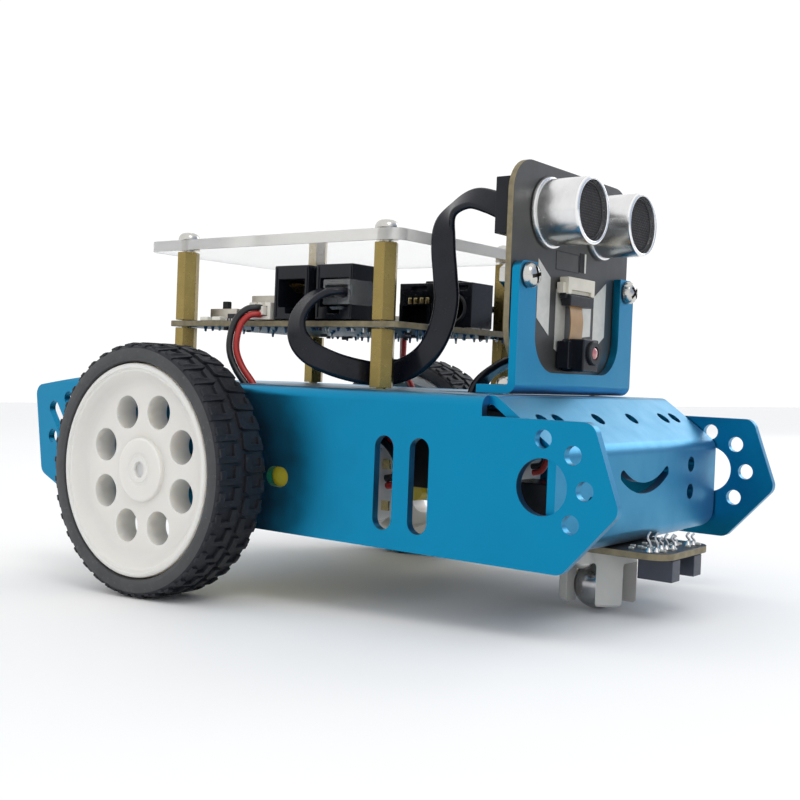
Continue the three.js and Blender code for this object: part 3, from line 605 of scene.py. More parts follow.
# ---------------------------------------------------------------- chassis and bracket
def side_profile():
    return outline((-43, DECK_Z, 3), (-66.4, 51.9, 3), (-62.4, 26.4, 3), (-46, BOTTOM_Z, 2),
                   (113.7, BOTTOM_Z, 3),
                   (126.4, 33.2, 3), (119.9, 51, 3), (DECK_FRONT_X, 51, 0.6), (DECK_FRONT_X, DECK_Z))


def side_tools(y0, y1):
    """Everything that is punched through one side plate."""
    hole = lambda radius, x, z, sides=40: prism(circle(radius, (x, z), sides), (y0, y1), "y")
    slot = lambda a, b, width: prism(capsule(a, b, width), (y0, y1), "y")
    ear = [hole(2, 108.5 + 10 * math.cos(a), 37.05 + 10 * math.sin(a))
           for a in (math.pi / 2, math.pi / 4, 0, -math.pi / 4)]
    return [*ear, hole(6, 108.5, 37.05, 64), hole(4.5, 0, TYRE_RADIUS), hole(2, -50.4, 48.7),
            hole(2, -57.4, 37.3),
            hole(1.7, 20.2, TYRE_RADIUS - 8.75), hole(1.7, 20.2, TYRE_RADIUS + 8.75),
            slot((67, 26.2), (67, 42.5), 5.4), slot((77, 26.2), (77, 42.5), 5.4),
            slot((-57.2, 45.6), (-49.5, 35.2), 4.2), slot((32.8, 32.9), (35, 32.9), 5)]


def arc_slot():
    """A slot of even width along an arc, with round ends."""
    radius, width, spread, centre_z, steps = 22.5, 2.6, 0.56, 57, 24
    points = []
    for k in range(steps + 1):
        angle = -math.pi / 2 - spread + 2 * spread * k / steps
        points.append(((radius + width / 2) * math.cos(angle),
                       centre_z + (radius + width / 2) * math.sin(angle)))
    for end, inner in ((spread, False), (-spread, True)):
        angle = -math.pi / 2 + end
        centre = (radius * math.cos(angle), centre_z + radius * math.sin(angle))
        for k in range(1, 9):
            turn = angle + math.pi * k / 9 + (math.pi if inner else 0)
            points.append((centre[0] + width / 2 * math.cos(turn), centre[1] + width / 2 * math.sin(turn)))
        if not inner:
            for k in range(steps + 1):
                back = -math.pi / 2 + spread - 2 * spread * k / steps
                points.append(((radius - width / 2) * math.cos(back),
                               centre_z + (radius - width / 2) * math.sin(back)))
    return prism(points, (106, 113), "x")


def chassis():
    inner = HALF_WIDTH - SHEET
    low = BOTTOM_Z - 5
    section = outline(
        (-HALF_WIDTH, low), (-inner, low), (-inner, DECK_Z - SHEET, 0.6), (inner, DECK_Z - SHEET, 0.6),
        (inner, low),
        (HALF_WIDTH, low), (HALF_WIDTH, DECK_Z, 2.6), (-HALF_WIDTH, DECK_Z, 2.6), steps=8)
    channel = combine(prism(section, (-70, DECK_FRONT_X), "x"), prism(side_profile(), (-50, 50), "y"),
                      "INTERSECT")
    deck_tools = [prism(circle(1.7, at, 24), (50, 60), "z") for at in [*POSTS, (84.5, -22), (84.5, 22)]]
    deck_tools += [prism(rectangle((8, 19), (y - 3, y + 3), 2.9), (50, 60), "z") for y in (-36, 36)]
    deck_tools.append(prism(rectangle((60, 76), (-18, 2), 3), (50, 60), "z"))
    channel = cut(channel, block((-71, -43), (-inner, inner), (45, 60)), *deck_tools)
    ears = joined(*[combine(prism(side_profile(), span, "y"),
                            block((DECK_FRONT_X - 1, 130), (-50, 50), (15, 51)),
                            "INTERSECT") for span in ((inner, HALF_WIDTH), (-HALF_WIDTH, -inner))])
    sides = cut(combine(channel, ears, "UNION"), *side_tools(-50, -40), *side_tools(40, 50))
    back = NOSE_X - SHEET
    profile = outline(
        (90, DECK_Z), (90, DECK_Z - SHEET), (94.3, DECK_Z - SHEET, 1), (back, 43.4, 2),
        (back, LIP_Z + SHEET, 1.4),
        (89.5, LIP_Z + SHEET), (89.5, LIP_Z), (NOSE_X, LIP_Z, 3.4), (NOSE_X, 44.4, 4), (95, DECK_Z, 3),
        steps=8)
    panel = outline((-NOSE_HALF_WIDTH, 22.2, 5), (-LIP_HALF_WIDTH - 0.5, 22.2), (-LIP_HALF_WIDTH, 15),
                    (LIP_HALF_WIDTH, 15), (LIP_HALF_WIDTH + 0.5, 22.2), (NOSE_HALF_WIDTH, 22.2, 5),
                    (NOSE_HALF_WIDTH, 65), (-NOSE_HALF_WIDTH, 65), steps=8)
    strip = combine(prism(profile, (-NOSE_HALF_WIDTH, NOSE_HALF_WIDTH), "y"), prism(panel, (85, 115), "x"),
                    "INTERSECT")
    slope = Vector((NOSE_X - 95, 44.4 - DECK_Z)).normalized()
    at = Vector((95, DECK_Z)) + slope * 8.5
    out = Vector((-slope.y, slope.x))
    holes = [rod(2, (at.x - 3 * out.x, y, at.y - 3 * out.y), (at.x + 2 * out.x, y, at.y + 2 * out.y), 40)
             for y in (-34.8, -27.9, -9, 9, 27.9, 34.8)]
    holes += [prism(circle(2, (y, z)), (106, 113), "x") for y in (-27.1, 27.1) for z in (39.1, 32.1)]
    holes += [prism(circle(1.7, (BALL_X, y), 24), (18, 26), "z") for y in (-CASTER_SCREW_Y, CASTER_SCREW_Y)]
    corners = [block((88, back), ys, (15, 26)) for ys in ((-50, -LIP_HALF_WIDTH), (LIP_HALF_WIDTH, 50))]
    nose = cut(strip, *holes, arc_slot(), *corners)
    whole = combine(sides, nose, "UNION")
    # The rounded edges take the second material, a lighter blue that is a painted highlight
    place("chassis_sheet", softened(whole, 0.22, material=1), [BLUE, BLUE_EDGE_HIGHLIGHT], "blue_anodised", "chassis")


def bracket():
    half = BRACKET_HALF_WIDTH
    foot = DECK_Z + 0.3
    back = BRACKET_X - SHEET
    fold = outline((80.5, foot), (BRACKET_X, foot, 2.6), (BRACKET_X, 86.5), (back, 86.5),
                   (back, foot + SHEET, 0.8),
                   (80.5, foot + SHEET), steps=8)
    front = rectangle((-half, half), (50, 86.5), 2.5)
    body = combine(prism(fold, (-half, half), "y"), prism(front, (75, 95), "x"), "INTERSECT")
    mouth = prism(outline((-21.5, 90), (-21.5, 61, 9), (21.5, 61, 9), (21.5, 90), steps=12), (87, 94), "x")
    holes = [prism(circle(1.7, (y, 83.2), 28), (85, 95), "x") for y in (-25.4, 25.4)]
    holes += [prism(circle(1.7, (84.5, y), 28), (54, 60), "z") for y in (-22, 22)]
    # The rounded edges take the second material, a painted highlight
    sheet = softened(cut(body, mouth, *holes), 0.22, material=1)
    place("bracket_sheet", sheet, [BLUE, BLUE_EDGE_HIGHLIGHT], "blue_anodised", "sensor_bracket")


chassis()
bracket()


# ---------------------------------------------------------------- fasteners
def screw_head(radius=2.9, height=2.0):
    """A pan head standing on z = 0, with a cross recess."""
    dome = [(0, 0), (radius, 0)]
    dome += [(radius * math.cos(a) ** 0.6, height * math.sin(a)) for a in (0.25, 0.5, 0.75, 1.0, 1.25, 1.45)]
    head = lathe([*dome, (0, height)], segments=36)
    arm, reach, depth = 0.42, 1.95, height - 1.2
    cross = prism([(arm, reach), (-arm, reach), (-arm, arm), (-reach, arm), (-reach, -arm), (-arm, -arm),
                   (-arm, -reach), (arm, -reach), (arm, -arm), (reach, -arm), (reach, arm), (arm, arm)],
                  (depth, height + 1), "z")
    made = softened(cut(head, cross), 0.06, segments=1)

    def in_recess(face):
        at = face.calc_center_median()
        narrow, wide = sorted((abs(at.x), abs(at.y)))
        if not (depth - 0.1 < at.z < height - 0.12 and narrow < arm and wide < reach + 0.05):
            return False
        return face.normal.z < 0.3 or at.z < depth + 0.1

    # The walls and floor of the cross recess take the second material, painted shade
    return faced(made, 1, in_recess)


def hex_nut(across=5.5, height=2.3):
    corners = circle(across / math.sqrt(3), sides=6)
    return softened(cut(prism(corners, (0, height), "z"), rod(1.45, (0, 0, -1), (0, 0, height + 1), 24)),
                    0.25)


def aimed(origin, axis):
    turn = Vector((0, 0, 1)).rotation_difference(Vector(axis)).to_matrix().to_4x4()
    return Matrix.Translation(origin) @ turn


def standoffs():
    levels = [("lower", DECK_Z + 0.3, BOARD_Z - 0.3, 5), ("upper", BOARD_TOP, COVER_Z - 0.3, 6)]
    for label, (x, y) in zip(ENDS, POSTS):
        for level, z0, z1, stud in levels:
            post = prism(circle(5.5 / math.sqrt(3), (x, y), 6), (z0, z1), "z")
            crown = lathe([(0, z0 - 1), (2.55, z0 - 1), (3.35, z0 + 0.5), (3.35, z1 - 0.5), (2.55, z1 + 1),
                           (0, z1 + 1)],
                          (x, y, 0), segments=36)
            post = softened(combine(post, crown, "INTERSECT"), 0.14)
            thread = lathe([(0, z0 - stud), (1.1, z0 - stud), (1.35, z0 - stud + 0.4), (1.35, z0 + 0.2),
                            (0, z0 + 0.2)],
                           (x, y, 0), segments=20)
            place(f"{level}_post_{label}", joined(post, thread), BRASS, "brass", f"{level}_standoff_{label}")
        top = COVER_Z + COVER_THICKNESS + 0.3
        shank = rod(1.35, (0, 0, -9), (0, 0, 0.2), 20)
        screw = moved(joined(screw_head(3.1, 2.1), shank),
                      Matrix.Translation((x, y, top)) @ Matrix.Rotation(x + y, 4, "Z"))
        place(f"cover_fastener_{label}", screw, [STEEL, RECESS_SHADE], "bright_steel", f"cover_screw_{label}")
        nut = moved(hex_nut(), Matrix.Translation((x, y, DECK_Z - SHEET - 2.4)))
        place(f"deck_nut_{label}", nut, STEEL, "bright_steel")


def bracket_fasteners():
    for side, y in (("right", -25.4), ("left", 25.4)):
        shank = rod(1.35, (0, 0, -7), (0, 0, 0.2), 20)
        at = aimed((BRACKET_X + 0.3, y, 83.2), (1, 0, 0)) @ Matrix.Rotation(0.5 + y, 4, "Z")
        place(f"bracket_fastener_{side}", moved(joined(screw_head(3.0, 2.2), shank), at), [STEEL, RECESS_SHADE],
              "bright_steel",
              f"bracket_screw_{side}")
        nut = moved(hex_nut(), aimed((SENSOR_X - PCB - 0.1, y, 83.2), (-1, 0, 0)))
        place(f"bracket_nut_{side}", nut, STEEL, "bright_steel")
        foot = moved(joined(screw_head(2.8, 1.8), rod(1.35, (0, 0, -5), (0, 0, 0.2), 20)),
                     Matrix.Translation((84.5, 22 if y > 0 else -22, DECK_Z + 0.3 + SHEET + 0.1)))
        place(f"foot_fastener_{side}", foot, [STEEL, RECESS_SHADE], "bright_steel")
        bolts = [moved(screw_head(2.8, 1.8), aimed((20.2, HALF_WIDTH + 0.1, TYRE_RADIUS + up), (0, 1, 0)))
                 for up in (-8.75, 8.75)]
        pair = joined(*bolts)
        place(f"motor_bolts_{side}", mirrored(pair) if y < 0 else pair, [STEEL, RECESS_SHADE], "bright_steel")


standoffs()
bracket_fasteners()


# ---------------------------------------------------------------- sensor head
def transducer(side, y):
    back, face = SENSOR_X + 0.3, TRANSDUCER_FACE_X
    barrel = lathe([
        (0, back), (8.6, back), (8.6, back + 0.5), (8.45, back + 0.85), (8.0, back + 0.95),
        (7.97, back + 1.6),
        (7.97, face - 1.5), (8.0, face - 0.75), (7.95, face - 0.3), (7.7, face - 0.06), (7.4, face),
        (7.15, face - 0.1),
        (7.0, face - 0.4), (6.95, face - 2.4), (0, face - 2.4)], (0, y, TRANSDUCER_Z), (1, 0, 0), 96)
    faced(barrel, 1, lambda f: f.calc_center_median().x > face - 0.8)
    # The floor inside the barrel takes the third material, painted shade
    faced(barrel, 2, lambda f: f.calc_center_median().x > face - 2.5 and (
        math.hypot(f.calc_center_median().y - y, f.calc_center_median().z - TRANSDUCER_Z) < 6.9))
    place(f"transducer_barrel_{side}", barrel, [TURNED, RIM_BRIGHT, CAVITY_SHADE], "bright_aluminium",
          f"transducer_{side}")
    wires = []
    pitch, radius, front = 0.62, 6.8, face - 1.7
    count = int(radius / pitch)
    for lengthwise in (False, True):
        for i in range(-count, count + 1):
            across = i * pitch
            reach = math.sqrt(max(radius ** 2 - across ** 2, 0.01))
            steps = max(4, int(4 * reach / pitch))
            line = []
            for k in range(steps + 1):
                run = -reach + 2 * reach * k / steps
                sign = (1 if i % 2 else -1) * (1 if lengthwise else -1)
                lift = 0.1 * math.cos(math.pi * run / pitch) * sign
                spot = (y + across, TRANSDUCER_Z + run) if lengthwise else (y + run, TRANSDUCER_Z + across)
                line.append(Vector((front + lift, *spot)))
            wires.append(swept(line, [Vector((1, 0, 0))] * len(line), circle(0.125, sides=4)))
    hoop = lathe([(6.5, -0.3), (6.85, -0.3), (6.85, 0.35), (6.5, 0.35)], (front, y, TRANSDUCER_Z), (1, 0, 0),
                 48, True)
    place(f"transducer_mesh_{side}", joined(*wires, hoop), WIRE, "grille", f"transducer_grille_{side}")


def sensor_board():
    shape = outline((-29.5, 60, 12), (29.5, 60, 12), (29.5, 110.5, 8), (-29.5, 110.5, 8), steps=10)
    holes = [prism(circle(1.7, (y, 83.2), 24), (80, 92), "x") for y in (-25.4, 25.4)]
    board = softened(cut(prism(shape, (SENSOR_X - PCB, SENSOR_X), "x"), *holes), 0.08, segments=1)
    faced(board, 1, lambda f: abs(f.normal.x) < 0.6)
    place("sensor_circuit_board", board, [SENSOR_MASK, LAMINATE], "circuit_board", "sensor_board")
    # Plain bright bars and a thin frame on the mask
    x0 = SENSOR_X - 0.05
    bar = lambda y0, y1, z0, z1, slant: prism([(y0, z0 + slant), (y1, z0), (y1, z1), (y0, z1 + slant)],
                                              (x0, SENSOR_X + 0.08), "x")
    bars = [bar(-17.4, -11.4, 70, 84, 4), bar(-8.4, -3.6, 64.5, 79, 2.5), bar(11.2, 17.6, 71, 85, -4),
            bar(4.6, 9.8, 70.8, 78.8, -0.5)]
    place("sensor_board_bars", joined(*bars), SILVER, "tinned_steel")
    frame_lines = cut(prism(rectangle((-9.0, 2.6), (86.2, 90.9)), (x0, SENSOR_X + 0.07), "x"),
                      prism(rectangle((-8.75, 2.35), (86.45, 90.65)), (x0 - 1, SENSOR_X + 1), "x"))
    # The slot is a thin dark block on the board, painted shade
    dark_slot = block((x0, SENSOR_X + 0.12), (2.9, 5.3), (86.6, 91.4))
    place("sensor_slot", dark_slot, CAVITY_SHADE, "black_plastic")
    place("sensor_slot_edge", block((x0, SENSOR_X + 0.12), (5.32, 6.1), (86.6, 91.4)), SILVER, "tinned_steel")
    chips = [rounded_block((85.9, SENSOR_X - PCB - 0.05), (y - 2.5, y + 2.5), (z - 2, z + 2), 0.12)
             for y, z in ((8, 98), (10, 88), (-4, 92))]
    place("sensor_board_outline", frame_lines, SATIN_BLACK, "black_plastic")
    place("sensor_back_chips", joined(*chips), SATIN_BLACK, "black_plastic")
    joints = []
    for y in (-TRANSDUCER_Y, TRANSDUCER_Y):
        for dy in (-5, 5):
            joints.append(lathe([(0, 0), (1.1, 0), (0.6, 0.9), (0.35, 1.6), (0, 1.7)],
                                (SENSOR_X - PCB - 0.02, y + dy, TRANSDUCER_Z), (-1, 0, 0), 16))
    place("sensor_solder_joints", joined(*joints), SOLDER, "tinned_steel")


def camera_and_ribbon():
    x = SENSOR_X + 0.3
    shell = softened(cut(block((x, x + 2.6), (-7.4, 6.2), (80.4, 84.6)),
                         block((x + 1.7, x + 4), (-5.6, 4.4), (80, 81.5))), 0.2)
    ears = [rounded_block((x, x + 1.8), ys, (80.6, 83.2), 0.15) for ys in ((-8.6, -7.3), (6.1, 7.0))]
    place("ribbon_shell", joined(shell, *ears), IVORY, "ivory_plastic", "ribbon_connector")
    latch = joined(rounded_block((x + 0.2, x + 2.9), (-6.6, 5.4), (77.6, 80.2), 0.3),
                   rounded_block((x + 0.2, x + 2.0), (-7.6, 6.6), (79.2, 80.7), 0.25))
    place("ribbon_latch", latch, SATIN_BLACK, "black_plastic")
    path = [Vector((x + out, -2.0, z)) for out,
            z in ((1.7, 78), (2.1, 75.8), (2.3, 73.6), (2.2, 71.4), (2.0, 69.2))]
    line = spline(path, 5)
    strip = swept(line, [Vector((1, 0, 0))] * len(line),
                  [(-3.1, -0.08), (3.1, -0.08), (3.1, 0.08), (-3.1, 0.08)])
    place("camera_flex", strip, AMBER, "ivory_plastic")
    cy, cz, front = -0.5, 66.2, x + 6.2
    body = rounded_block((x, front), (-5.2, 2.6), (61.6, 69.6), 0.45)
    step = rounded_block((x, x + 3.4), (-7.6, -4.9), (62.2, 69), 0.3)
    place("camera_body", joined(body, step), BLACK, "black_plastic", "camera_module")
    ring = lathe([(0, front - 0.3), (2.95, front - 0.3), (2.95, front + 0.5), (2.7, front + 0.8),
                  (1.7, front + 0.8),
                  (1.5, front + 0.4), (0, front + 0.4)], (0, cy, cz), (1, 0, 0), 40)
    place("camera_barrel", ring, SATIN_BLACK, "black_plastic")
    glass = lathe([(0, front + 0.3), (1.48, front + 0.3), (1.4, front + 0.6), (0.9, front + 0.85),
                   (0, front + 0.95)],
                  (0, cy, cz), (1, 0, 0), 32)
    place("camera_lens", glass, LENS, "black_plastic")


def back_socket():
    back = SENSOR_X - PCB - 0.3
    shell = cut(block((back - 4, back), (-28, -14), (92.8, 106)),
                combine(block((75, back - 1.4), (-25.8, -18.5), (96, 103.2)),
                        block((75, back - 2.6), (-24.2, -20.6), (94, 97)), "UNION"))
    place("back_socket_shell", softened(shell, 0.2), BLACK, "black_plastic", "sensor_socket")
    place("back_socket_plug", rounded_block((82.6, back - 1.6), (-25.5, -19.1), (96.4, 102.8), 0.3),
          CLEAR_PLUG, "clear_acrylic")


for side, y in (("right", -TRANSDUCER_Y), ("left", TRANSDUCER_Y)):
    transducer(side, y)
sensor_board()
camera_and_ribbon()
back_socket()


# ---------------------------------------------------------------- controller stack
def cover():
    shape = rectangle((COVER_BACK_X, BOARD_FRONT_X), (-BOARD_HALF_WIDTH, BOARD_HALF_WIDTH), 4, steps=10)
    holes = [prism(circle(1.7, at, 28), (85, 100), "z") for at in POSTS]
    plate = softened(cut(prism(shape, (COVER_Z, COVER_Z + COVER_THICKNESS), "z"), *holes), 0.15, segments=2)
    faced(plate, 1, lambda f: abs(f.normal.z) < 0.6)
    place("clear_cover", plate, [ACRYLIC, ACRYLIC_EDGE], "clear_acrylic", "cover_plate")


def controller_board():
    shape = rectangle((BOARD_BACK_X, BOARD_FRONT_X), (-BOARD_HALF_WIDTH, BOARD_HALF_WIDTH), 2)
    holes = [prism(circle(1.7, at, 28), (60, 80), "z") for at in POSTS]
    board = softened(cut(prism(shape, (BOARD_Z, BOARD_Z + PCB), "z"), *holes), 0.08, segments=1)
    faced(board, 1, lambda f: abs(f.normal.z) < 0.6)
    place("controller_circuit_board", board, [MASK, LAMINATE], "circuit_board", "controller_board")
    rings = [lathe([(1.75, 0), (3.0, 0), (3.0, 0.05), (1.75, 0.05)], (*at, z), segments=32, closed=True)
             for at in POSTS for z in (BOARD_Z + PCB, BOARD_Z - 0.05)]
    place("board_pad_rings", joined(*rings), SILVER, "tinned_steel")


def under_pins():
    """Solder tails and small parts that stand down from the board."""
    seeded = random.Random(7)
    tails, dark, blue_reflecting = [], [], []
    rows = [(x, -28.2) for x in range(-12, 50, 3)] + [(x, 26.5) for x in range(-12, 50, 3)]
    rows += [(55.0, y) for y in range(-22, 24, 3)] + [(x, y) for x in range(-14, 48, 12) for y in (-12, 0,
                                                                                                   12)]
    for x, y in rows:
        if any(math.hypot(x - px, y - py) < 4.2 for px, py in POSTS):
            continue
        x += seeded.uniform(-0.5, 0.5)
        y += seeded.uniform(-0.7, 0.7)
        length = seeded.uniform(0.7, 1.7)
        cone = lathe([(0, 0), (0.62, 0), (0.4, 0.35), (0.3, length - 0.1), (0, length)],
                     (x, y, BOARD_Z - 0.01), (0, 0, -1), 8)
        # Some tails get a blue copy of the solder, a painted reflection of the deck
        (blue_reflecting if seeded.random() < 0.45 else tails).append(cone)
        if seeded.random() < 0.35:
            size = seeded.uniform(0.5, 1.1)
            chip_x, chip_y = x + seeded.uniform(-1.2, 1.2), y + seeded.uniform(1, 2.4) * (1 if y < 0 else -1)
            dark.append(block((chip_x - size, chip_x + size), (chip_y - 0.5, chip_y + 0.5),
                              (BOARD_Z - seeded.uniform(0.5, 1.1), BOARD_Z - 0.01)))
    place("under_solder_tails", joined(*tails), SOLDER, "tinned_steel")
    place("under_tails_blue_reflection", joined(*blue_reflecting), SOLDER_BLUE_REFLECTION, "tinned_steel")
    place("under_small_parts", softened(joined(*dark), 0.08, 1), SATIN_BLACK, "black_plastic")


def modular_socket(name, node, x0, x1, flip=False):
    """A modular cable socket: a deep mouth with a latch notch under it, and bright contact wires."""
    z, edge = BOARD_TOP, BOARD_HALF_WIDTH
    middle = (x0 + x1) / 2
    shell = cut(block((x0, x1), (-edge, -edge + 15), (z, 86.8)),
                combine(block((x0 + 1.4, x1 - 1.4), (-edge - 1, -edge + 10), (z + 3.3, z + 10.5)),
                        block((middle - 2, middle + 2), (-edge - 1, -edge + 10), (z + 1.6, z + 4)), "UNION"))
    shell = softened(shell, 0.3)
    lips = joined(*[rounded_block((x, x + 0.7), (-edge - 0.25, -edge + 0.2), (z + 0.6, 86.2), 0.12)
                    for x in (x0 + 0.35, x1 - 1.05)])
    contacts = []
    for i in range(6):
        x = middle - 2.55 + i * 1.02
        line = [Vector((x, -edge + 9.6, z + 9.9)), Vector((x, -edge + 3.0, z + 9.7)),
                Vector((x, -edge + 2.2, z + 9.2)),
                Vector((x, -edge + 5.5, z + 7.2))]
        contacts.append(swept(line, [Vector((0.02, 0.2, 1))] * 4, circle(0.18, sides=6)))
    wires = joined(*contacts)
    for part in (shell, lips, wires):
        if flip:
            mirrored(part)
    place(f"{name}_shell", joined(shell, lips), BLACK, "black_plastic", node)
    place(f"{name}_contacts", wires, GOLD, "brass")


def modular_plug(name, x, flip):
    """The clear plug on the end of a flat cable, seated in its socket."""
    z, edge = BOARD_TOP, BOARD_HALF_WIDTH
    body = cut(block((x - 4.4, x + 4.4), (-edge - 1.6, -edge + 8), (z + 3.7, z + 10.1)),
               block((x - 3.7, x + 3.7), (-edge - 3, -edge + 2), (z + 5.6, z + 8.6)))
    latch = prism([(-edge - 2.4, z + 3.1), (-edge - 1.6, z + 2.4), (-edge + 5, z + 3.5), (-edge + 5, z + 3.9),
                   (-edge - 1.4, z + 3.2)], (x - 1.5, x + 1.5), "x")
    plug = joined(softened(body, 0.25), softened(latch, 0.1, 1))
    if flip:
        mirrored(plug)
    place(name, plug, CLEAR_PLUG, "clear_acrylic")


def front_socket_piece():
    """The data socket: a low mouth, four bright contacts over it and a notch near the top."""
    z, face = BOARD_TOP, 1.8
    shell = cut(block((33.3, 45.3), (face, 12.2), (z, z + 12.1)),
                block((35, 43.6), (0, 10), (z + 1, z + 5.9)),
                block((37.2, 42.6), (0, face + 1.2), (z + 10.0, z + 11.2)),
                block((36.2, 44.2), (0, face + 2.4), (z + 6.6, z + 8.0)))
    shell = combine(shell, cut(block((33.9, 44.4), (face - 0.9, face + 0.5), (z + 0.2, z + 6.4)),
                               block((35, 43.6), (0, 10), (z + 1, z + 5.9))), "UNION")
    place("front_socket_shell", softened(shell, 0.18), BLACK, "black_plastic", "front_socket")
    contacts = [rounded_block((x, x + 1.15), (face - 0.5, face + 1.6), (z + 6.15, z + 8.1), 0.16)
                for x in (36.6, 38.6, 40.6, 42.6)]
    place("front_socket_contacts", joined(*contacts), GOLD, "brass")


def power_jack_piece():
    z, face = BOARD_TOP, 1.8
    x, mid = 51.8, z + 5.1
    shell = cut(block((45.7, BOARD_FRONT_X), (face, 12.2), (z, z + 12.1)),
                rod(3.3, (x, 0, mid), (x, 10, mid), 48),
                block((51.6, 56.2), (0, face + 1.2), (z + 10.0, z + 11.2)))
    place("jack_shell", softened(shell, 0.25), BLACK, "black_plastic", "power_jack")
    ring = lathe([(3.1, -face - 0.2), (4.1, -face - 0.2), (4.15, -face + 0.15), (3.7, -face + 0.5),
                  (3.2, -face + 0.35)], (x, 0, mid), (0, -1, 0), 48, closed=True)
    pin = lathe([(0, -10), (0.85, -10), (0.85, -face - 1.4), (0.6, -face - 0.9), (0, -face - 0.8)],
                (x, 0, mid), (0, -1, 0), 24)
    place("jack_ring", ring, SATIN_BLACK, "black_plastic")
    place("jack_pin", pin, STEEL, "bright_steel")
    pads = [rounded_block((BOARD_FRONT_X - 2.6, BOARD_FRONT_X - 0.2), (y, y + 4.2), (z - 0.28, z + 0.5), 0.1)
            for y in (2.6, 7.6)]
    place("jack_feet",
          joined(*pads, rounded_block((33, 36), (face - 2.4, face - 1.1), (z - 0.28, z + 0.6), 0.1)),
          LED, "white_plastic")


def usb_piece():
    z = BOARD_TOP
    shell = cut(block((-7, 12), (-16, -2), (z, z + 7.8)), block((-8, 8), (-15.2, -2.8), (z + 0.9, z + 7.0)))
    tabs = [prism(capsule((3, y), (6, y), 1.6), (z + 7.7, z + 7.95), "z") for y in (-12.4, -5.6)]
    wings = [rounded_block((-7.6, -6.8), (-15.4, -2.6), (z + h, z + h + 0.5), 0.15) for h in (0.2, 7.1)]
    place("usb_shell", joined(softened(shell, 0.22), *tabs, *wings), TIN, "tinned_steel", "usb_socket")
    tongue = rounded_block((-6, 7.6), (-13.6, -4.4), (z + 3.0, z + 5.0), 0.25)
    place("usb_tongue", tongue, LED, "white_plastic")


def small_parts():
    """Motor sockets, switch, button, lamp, chips and passives on top of the board."""
    z, edge = BOARD_TOP, BOARD_HALF_WIDTH
    for side in ("right", "left"):
        shell = cut(block((7.5, 15.4), (-edge, -edge + 6.5), (z, z + 4.6)),
                    block((8.6, 14.3), (-edge - 1, -edge + 4.5), (z + 1.0, z + 3.6)),
                    block((9.6, 10.7), (-edge - 1, -edge + 3), (z + 3.75, z + 6)),
                    block((12.2, 13.3), (-edge - 1, -edge + 3), (z + 3.75, z + 6)))
        shell = softened(shell, 0.15)
        plug = rounded_block((9.1, 13.9), (-edge - 1.2, -edge + 3.6), (z + 1.2, z + 3.5), 0.2)
        feet = [rounded_block((x, x + 0.8), (-edge + 6.3, -edge + 7.6), (z - 0.28, z + 0.1),
                              0.05) for x in (9.6, 12.4)]
        legs = joined(*feet)
        for part in (shell, plug, legs):
            if side == "left":
                mirrored(part)
        place(f"motor_socket_{side}", shell, JST, "ivory_plastic", f"motor_connector_{side}")
        place(f"motor_plug_{side}", plug, JST, "ivory_plastic")
        place(f"motor_socket_legs_{side}", legs, SOLDER, "tinned_steel")
    switch = cut(block((-16.4, -5.6), (-23.2, -18.4), (z, z + 3.6)),
                 block((-13.4, -8.6), (-21.9, -19.7), (z + 1.2, z + 5)))
    place("switch_shell", softened(switch, 0.2), TIN, "tinned_steel", "power_switch")
    lever = rounded_block((-13.1, -10.9), (-21.6, -20), (z + 1.5, z + 5.8), 0.25)
    place("switch_lever", lever, SATIN_BLACK, "black_plastic", "power_switch_lever", body="power_lever")
    button = cut(block((-18, -12), (9, 15), (z, z + 3.4)),
                 rod(2.05, (-15, 12, z + 1.4), (-15, 12, z + 5), 40))
    place("button_shell", softened(button, 0.2), TIN, "tinned_steel", "reset_button")
    cap = lathe([(0, z + 2.2), (1.75, z + 2.2), (1.75, z + 4.15), (1.6, z + 4.35), (0, z + 4.4)],
                (-15, 12, 0), segments=40)
    place("button_cap", cap, SATIN_BLACK, "black_plastic", "reset_button_cap", body="reset_cap")
    lamps = [rounded_block((x - 1.6, x + 1.6), (-edge + 1.2, -edge + 3.4), (z - 0.25, z + 0.9),
                           0.2) for x in (-11.5, -6.5)]
    place("board_lamps", joined(*lamps), LED, "white_plastic")
    chip_spots = [((-2.4, 3.6), (-edge + 1.6, -edge + 6.2), 1.7), ((14, 26), (-8, 4), 1.2),
                  ((30, 38), (-11, -4), 1.2),
                  ((-4, 4), (6, 12), 1.2), ((18, 26), (12, 19), 1.2)]
    chips = [rounded_block(xs, ys, (z - 0.2, z + h), 0.12) for xs, ys, h in chip_spots]
    place("board_chips", joined(*chips), SATIN_BLACK, "black_plastic")
    legs = []
    for (x0, x1), (y0, y1), _ in chip_spots:
        for k in range(int((x1 - x0) / 1.0)):
            x = x0 + 0.5 + k
            legs += [block((x - 0.17, x + 0.17), ys, (z - 0.28, z + 0.35))
                     for ys in ((y0 - 0.8, y0), (y1, y1 + 0.8))]
    place("chip_legs", joined(*legs), SOLDER, "tinned_steel")
    taken = [(xs, ys) for xs, ys, _ in chip_spots]
    taken += [((-8, 13), (-17, -1)), ((30, 45), (15, 32)), ((-19, -11), (8, 16)), ((6, 17), (23, 32)),
              ((15, 45), (-32, -15)), ((32, 58), (-1, 14))]
    clearance, post_clearance, tries = 1.6, 4.5, 46
    seeded = random.Random(3)
    passives = []
    for _ in range(tries):
        x, y = seeded.uniform(-22, 44), seeded.uniform(-14, 26)
        if any(xs[0] - clearance < x < xs[1] + clearance and ys[0] - clearance < y < ys[1] + clearance
               for xs, ys in taken):
            continue
        if any(math.hypot(x - px, y - py) < post_clearance for px, py in POSTS):
            continue
        passives.append(block((x - 0.8, x + 0.8), (y - 0.45, y + 0.45), (z - 0.28, z + 0.3)))
    place("board_passives", softened(joined(*passives), 0.08, 1), SILVER, "tinned_steel")


